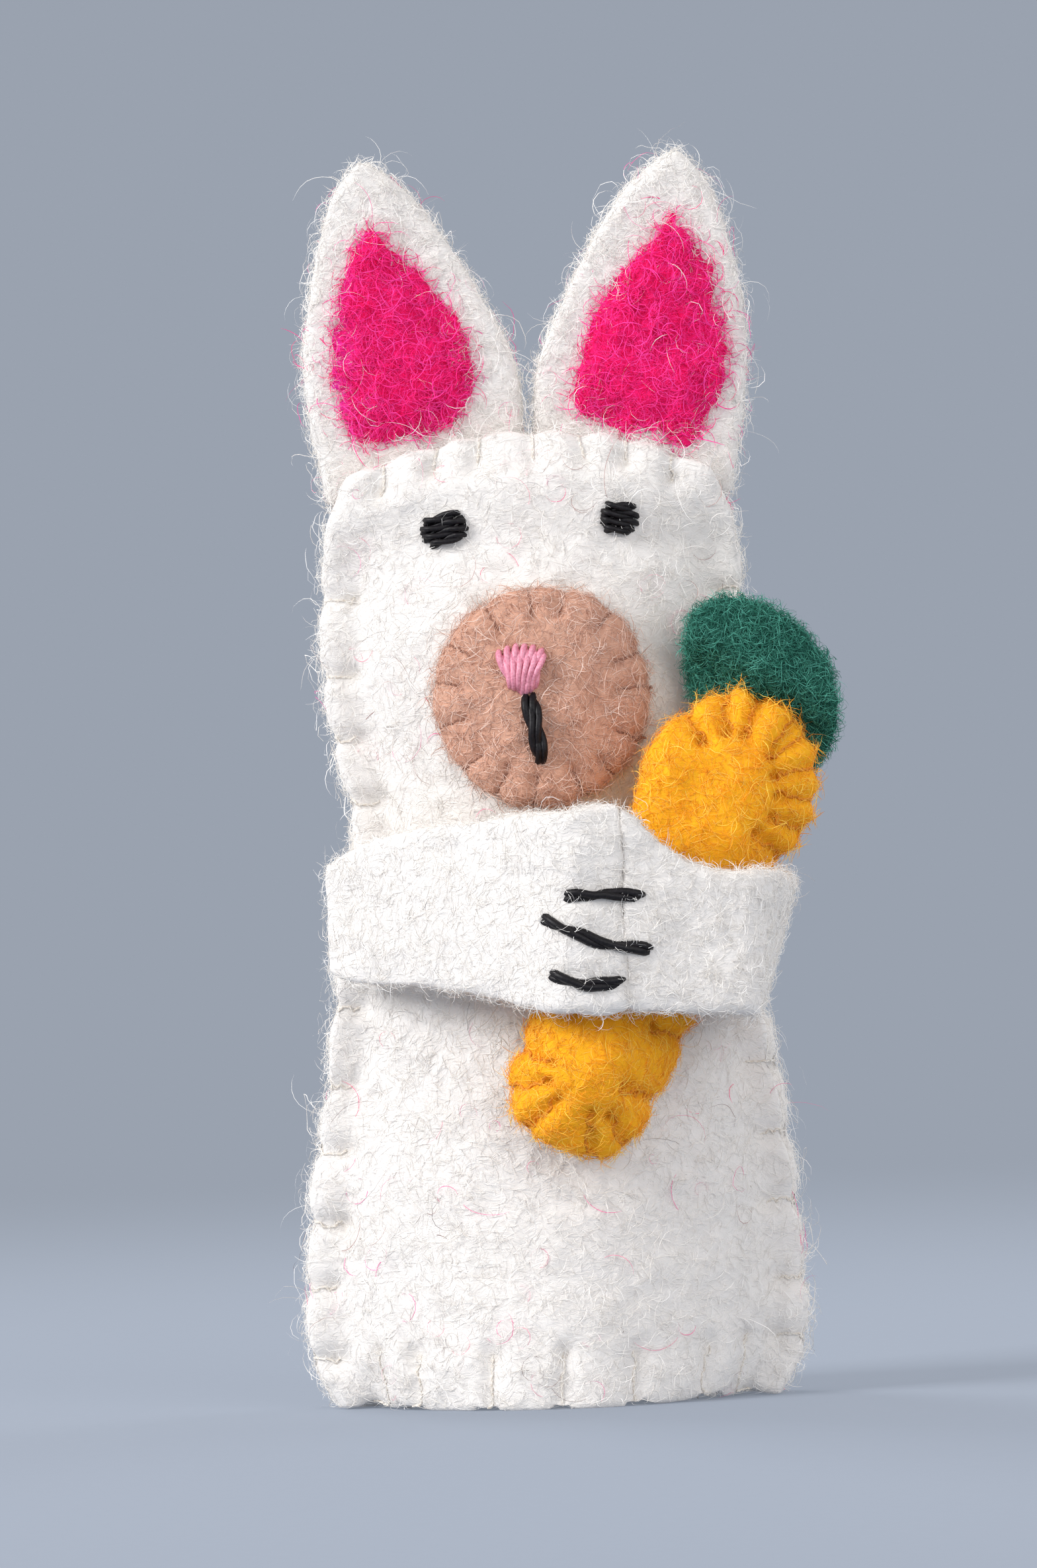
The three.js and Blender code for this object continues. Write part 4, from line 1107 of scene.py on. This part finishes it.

# %% [markdown]
# White thread in the body's seams. It is sewn from the same paths that pressed the felt, so it
# lies in its own grooves.

# %% Body thread
THREAD = 0.22  # mm thick
both = np.concatenate([front, back])
both_quads = np.concatenate([front_quads, back_quads + len(front)])
both_tree = tree_of(both, both_quads)
side_seam = stitches_on("side_seam", side_stitches, both_tree, THREAD, white_thread, "white_thread",
                        ["left_skirt_stitch", "right_skirt_stitch", "left_chest_stitch", "right_chest_stitch"])
on_body(side_seam)
hem_seam = stitches_on("hem_seam", hem_stitches, both_tree, THREAD, white_thread, "white_thread",
                       ["front_hem_stitch", "back_hem_stitch"])
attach(hem_seam, "skirt")
head_seam = stitches_on("head_seam", head_stitches, both_tree, THREAD, white_thread, "white_thread",
                        ["front_head_stitch", "back_head_stitch"])
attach(head_seam, "torso")
print("body threads", len(body_stitches), "stitches")

# %% [markdown]
# Three long stitches of black floss join the hands. The path of each comes from its CAD node,
# is laid on the two straps from the front, and is smoothed, since floss pulled tight bridges
# small hollows. A long twist keeps its plies smooth, as floss has much less twist than thread.

# %% Hand stitches
arm_tree = tree_of(np.concatenate([arms["left"][0], arms["right"][0]]),
                   np.concatenate([arms["left"][1], arms["right"][1] + len(arms["left"][0])]))
for node, line in zip(HAND_STITCHES, hand_paths):
    laid = []
    for x, _, z in flow(line, 0.4):
        laid.append(ray(arm_tree, (x, -60, z), (0, 1, 0)) - [0, 0.2, 0])
    laid[0], laid[-1] = laid[0] + [0, 0.6, 0], laid[-1] + [0, 0.6, 0]
    laid = np.array(laid)
    for _ in range(3):
        laid[1:-1] = (laid[:-2] + 2 * laid[1:-1] + laid[2:]) / 4
    stitch = new_piece(node.replace("_stitch", "_floss"), *twisted([laid], 1.08, lay=9), black_floss,
                       "black_floss")
    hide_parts(node)
    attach(stitch, "torso")
print("threads laid")

# %% [markdown]
# What makes felt look like felt is its loose fibres: most lie along the surface, curled and
# crossing, and a few stand up and catch the light along the outline. Blender's hair would be
# lost in an exported model, so each fibre is a thin curved ribbon of mesh. It starts just
# inside the felt, wanders with a steady curl, and rises and falls by its own slope. Real wool is
# about 0.03 mm thick; these are a little wider, so that they show.


# %% Grow fibres
def grow(points, quads, count, length, rise, curl, width, seed, keep=None, steps=5, sink=0.04):
    """Ribbons on a piece: length, rise (slope out of the felt) and curl are (low, high) ranges.
    keep gives the share of fibres to keep at each face's middle and normal."""
    random = np.random.default_rng(seed)
    corner = points[quads]
    area = np.cross(corner[:, 2] - corner[:, 0], corner[:, 3] - corner[:, 1]) / 2
    size = np.linalg.norm(area, axis=1)
    facing = area / np.maximum(size, 1e-9)[:, None]
    weight = size if keep is None else size * keep(corner.mean(1), facing)
    chosen = random.choice(len(quads), count, p=weight / weight.sum())
    u, v = random.random((2, count, 1))
    place = corner[chosen]
    place = (place[:, 0] * (1 - u) + place[:, 1] * u) * (1 - v) + (place[:, 3] * (1 - u) + place[:, 2] * u) * v
    out = facing[chosen]
    flat = np.cross(out, random.normal(size=(count, 3)))
    flat /= np.maximum(np.linalg.norm(flat, axis=1, keepdims=True), 1e-9)
    beside = np.cross(out, flat)
    reach = random.uniform(*length, count)
    slope = random.uniform(*rise, count)
    turn = random.uniform(*curl, count) * random.choice([-1, 1], count)
    heading = np.zeros(count)
    place = place - sink * out
    line = [place]
    for k in range(steps):
        share = k / (steps - 1)
        up = slope * (1 - 1.7 * share) + random.normal(0, 0.16, count)
        heading = heading + (turn + random.normal(0, 0.35, count)) / steps
        way = (np.cos(heading) * np.cos(up))[:, None] * flat + (np.sin(heading) * np.cos(up))[:, None] * beside
        place = place + (reach / steps)[:, None] * (way + np.sin(up)[:, None] * out)
        line.append(place)
    line = np.stack(line, 1)
    across = np.cross(line[:, -1] - line[:, 0], random.normal(size=(count, 3)))
    across /= np.maximum(np.linalg.norm(across, axis=1, keepdims=True), 1e-9)
    thin = width * random.uniform(0.7, 1.3, count)[:, None, None] * np.array(
        [1.0] * (steps - 1) + [0.7, 0.25])[None, :, None] / 2
    ribbon = np.stack([line - across[:, None] * thin, line + across[:, None] * thin], 2)
    index = np.arange(count * (steps + 1) * 2).reshape(count, steps + 1, 2)
    faces = np.stack([index[:, :-1, 0], index[:, :-1, 1], index[:, 1:, 1], index[:, 1:, 0]], -1).reshape(-1, 4)
    tone = np.repeat(random.random(count), (steps + 1) * 2)
    return ribbon.reshape(-1, 3), faces, tone


def wool(name, grown, material, slot, join):
    """One piece of several growths of fibres, joined to its bodies by a function."""
    points, faces, tones, start = [], [], [], 0
    for ribbon, quads, tone in grown:
        points.append(ribbon)
        faces.append(quads + start)
        tones.append(tone)
        start += len(ribbon)
    points = np.concatenate(points)
    low = points[:, 2] < 0.6  # fibres that would pass through the table bend to lie on it
    points[low, 2] = 0.6 * np.exp((points[low, 2] - 0.6) / 0.6)
    made = new_piece(name, points, np.concatenate(faces), material, slot, {"tone": np.concatenate(tones)})
    join(made)
    return made


def outer_face(side):
    """Keeps the fibres on the outside of a panel and its edges, and few on its inside."""
    return lambda place, facing: np.where(facing[:, 1] * side > -0.35, 1.0, 0.06)


def front_face(place, facing):
    """Keeps the fibres on the side that faces the front, wherever they are on it."""
    return (facing[:, 1] < 0.3) * 1.0


LYING, CURLY, STANDING = (0.06, 0.34), (0.25, 0.8), (0.5, 1.25)  # ranges of slope out of the felt
for side, name, points, quads in ((-1, "front", front, front_quads), (1, "back", back, back_quads)):
    keep = outer_face(side)
    wool(f"{name}_panel_nap", [
        grow(points, quads, 15400, (0.8, 2.2), LYING, (0.1, 1.3), 0.042, 100 + side, keep, 4),
        grow(points, quads, 6400, (0.6, 2.1), STANDING, (0.1, 2.0), 0.036, 110 + side, keep, 4),
        grow(points, quads, 1500, (2.2, 6.0), CURLY, (1.0, 7.0), 0.042, 120 + side, keep, 8),
    ], white_wool, "white_felt", on_body)
for side, name in ((-1, "left"), (1, "right")):
    points, quads, _ = ears[side]
    wool(f"{name}_ear_nap", [
        grow(points, quads, 7000, (0.8, 2.0), LYING, (0.1, 1.3), 0.042, 130 + side, None, 4),
        grow(points, quads, 3600, (0.6, 2.0), STANDING, (0.1, 2.0), 0.036, 140 + side, None, 4),
        grow(points, quads, 620, (2.0, 5.5), CURLY, (1.0, 7.0), 0.042, 150 + side, None, 8),
    ], white_wool, "white_felt", lambda made, side=side: on_ear(made))
    points, quads = pinks[side]
    wool(f"{name}_ear_wool_strands", [
        grow(points, quads, 3000, (1.5, 4.0), (0.03, 0.25), (1.0, 5.0), 0.06, 160 + side, front_face, 7),
        grow(points, quads, 200, (2.0, 5.0), CURLY, (2.0, 7.0), 0.036, 170 + side, front_face, 8),
    ], pink_wool, "pink_wool", lambda made, side=side: on_ear(made))
    points, quads = arms[name]
    wool(f"{name}_arm_nap", [
        grow(points, quads, 7000, (0.7, 2.0), LYING, (0.1, 1.3), 0.042, 180 + side, None, 4),
        grow(points, quads, 2400, (0.5, 1.6), STANDING, (0.1, 2.0), 0.034, 190 + side, None, 4),
        grow(points, quads, 180, (2.0, 4.5), CURLY, (2.0, 7.0), 0.034, 200 + side, None, 8),
    ], white_wool, "white_felt", lambda made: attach(made, "torso"))
wool("muzzle_nap", [
    grow(muzzle, muzzle_quads, 7500, (0.8, 2.4), LYING, (0.2, 2.2), 0.042, 210),
    grow(muzzle, muzzle_quads, 1600, (0.5, 1.4), STANDING, (0.1, 2.0), 0.036, 211),
], tan_wool, "tan_felt", lambda made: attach(made, "torso"))
wool("carrot_nap", [
    grow(carrot, carrot_quads, 14000, (0.8, 2.4), LYING, (0.2, 2.2), 0.042, 220),
    grow(carrot, carrot_quads, 2600, (0.5, 1.5), STANDING, (0.1, 2.0), 0.036, 221),
], orange_wool, "orange_felt", lambda made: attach(made, "torso"))
wool("leaf_nap", [
    grow(leaf, leaf_quads, 8000, (0.6, 1.6), (0.3, 1.0), (0.3, 2.5), 0.05, 230, None, 4),
    grow(leaf, leaf_quads, 6000, (0.8, 1.9), STANDING, (0.2, 2.0), 0.04, 231, None, 4),
], green_wool, "green_felt", on_leaf)

# %% [markdown]
# Last come the strays: every workshop where wool is dyed leaves a few pink, brown and black
# fibres in the white. They are long and curled, and lie on the felt here and there.

# %% Stray fibres
length = (2.0, 6.0)
for name, count, material, seed in (("pink_strays", 130, pink_wool, 240), ("dark_strays", 70, stray_wool, 250)):
    wool(name, [
        grow(front, front_quads, count, length, (0.05, 0.5), (1.0, 6.0), 0.035, seed, outer_face(-1), 9),
        grow(back, back_quads, count // 2, length, (0.05, 0.5), (1.0, 6.0), 0.035, seed + 1, outer_face(1), 9),
    ], material, None, on_body)
for side, name in ((-1, "left"), (1, "right")):
    points, quads, _ = ears[side]
    wool(f"{name}_ear_strays", [
        grow(points, quads, 90, (2.0, 5.0), (0.1, 0.7), (1.0, 6.0), 0.035, 260 + side, None, 9),
    ], pink_wool, None, lambda made, side=side: on_ear(made))
fibres = [piece.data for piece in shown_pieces() if "tone" in getattr(piece.data, "attributes", {})]
print("fibre faces", sum(len(mesh.polygons) for mesh in fibres))

# %% [markdown]
# Light shapes white felt. A strong softbox from the upper left gives it a bright side and a
# shaded side, a broad weak one at the right keeps the shadow open, and two from behind catch
# the loose fibres along the outline. The world adds an even glow, like white studio walls.

# %% Light
world = bpy.data.worlds.new("studio")
world.use_nodes = True
world.node_tree.nodes["Background"].inputs["Color"].default_value = linear("ececef")
world.node_tree.nodes["Background"].inputs["Strength"].default_value = 0.7
bpy.context.scene.world = world


def softbox(name, place, size, watts):
    """A square lamp that faces the middle of the puppet from a place in metres."""
    lamp = bpy.data.lights.new(name, "AREA")
    lamp.size, lamp.energy = size, watts
    made = bpy.data.objects.new(name, lamp)
    bpy.context.scene.collection.objects.link(made)
    place = Vector(place)
    made.matrix_world = Matrix.Translation(place) @ (
        Vector((0, 0, 0.05)) - place).to_track_quat("-Z", "Y").to_matrix().to_4x4()
    return made


softbox("key_softbox", (-1.5, -0.75, 0.85), 0.7, 33)
softbox("fill_softbox", (0.9, -1.4, 0.5), 1.4, 13.5)
softbox("left_rim_softbox", (-1.0, 1.3, 0.9), 0.8, 16)
softbox("right_rim_softbox", (1.4, 1.1, 0.7), 0.8, 9)
bpy.context.scene.view_settings.view_transform = "Standard"  # white felt shows as white

# %% [markdown]
# The floor and the backdrop are one round sheet of pale grey-blue paper that bends upwards far
# out, so no edge or horizon shows from any side. Near the puppet it is lit and takes its
# shadow; farther out it glows evenly, so that it has one colour all over.


# %% Floor and backdrop
FLOOR_RADIUS, BEND_RADIUS = 2.4, 1.4  # metres


def sweep():
    """A round pale floor that curves up into a backdrop on every side."""
    profile = [(r, 0.0) for r in (0.002, 0.3, 1.0, FLOOR_RADIUS)]
    profile += [(FLOOR_RADIUS + BEND_RADIUS * math.sin(t), BEND_RADIUS - BEND_RADIUS * math.cos(t))
                for t in np.linspace(0.1, 1.3, 14)]
    turn = np.linspace(0, 2 * math.pi, 72, endpoint=False)
    points = np.array([(r * math.cos(a), r * math.sin(a), z) for r, z in profile for a in turn]) / MM - MIDDLE
    index = np.arange(len(points)).reshape(len(profile), len(turn))
    ahead = np.roll(index, -1, axis=1)
    quads = np.stack([index[:-1], index[1:], ahead[1:], ahead[:-1]], -1).reshape(-1, 4)
    material, tree, place = new_material("pale_paper")
    grain = add(tree, "TexNoise", {"Vector": place, "Scale": 0.8, "Detail": 3.0})
    ramp = add(tree, "ValToRGB", {"Fac": grain.outputs["Fac"]})
    ramp.color_ramp.elements[0].color, ramp.color_ramp.elements[1].color = linear("99a1ae"), linear("9ba3b0")
    # Paper far from the lamps would go dark, so the farther out it is the more it glows by itself.
    outwards = add(tree, "VectorMath", {0: place}, operation="LENGTH")
    fade = {"Value": outwards.outputs["Value"], "From Min": 90.0, "From Max": 420.0}  # mm
    glow = add(tree, "MapRange", {**fade, "To Min": 0.45, "To Max": 1.0}, interpolation_type="SMOOTHSTEP")
    lit = add(tree, "MapRange", {**fade, "To Min": 0.62, "To Max": 0.0}, interpolation_type="SMOOTHSTEP")
    paper = add(tree, "VectorMath", {0: ramp.outputs[0], "Scale": lit.outputs["Result"]}, operation="SCALE")
    finish_material(tree, add(tree, "BsdfPrincipled", {
        "Base Color": paper.outputs[0], "Roughness": 0.9, "Specular IOR Level": 0.0,
        "Emission Color": ramp.outputs[0], "Emission Strength": glow.outputs["Result"]}))
    floor = new_piece("paper_sweep", points, quads, material)


sweep()
print("floor and backdrop made")
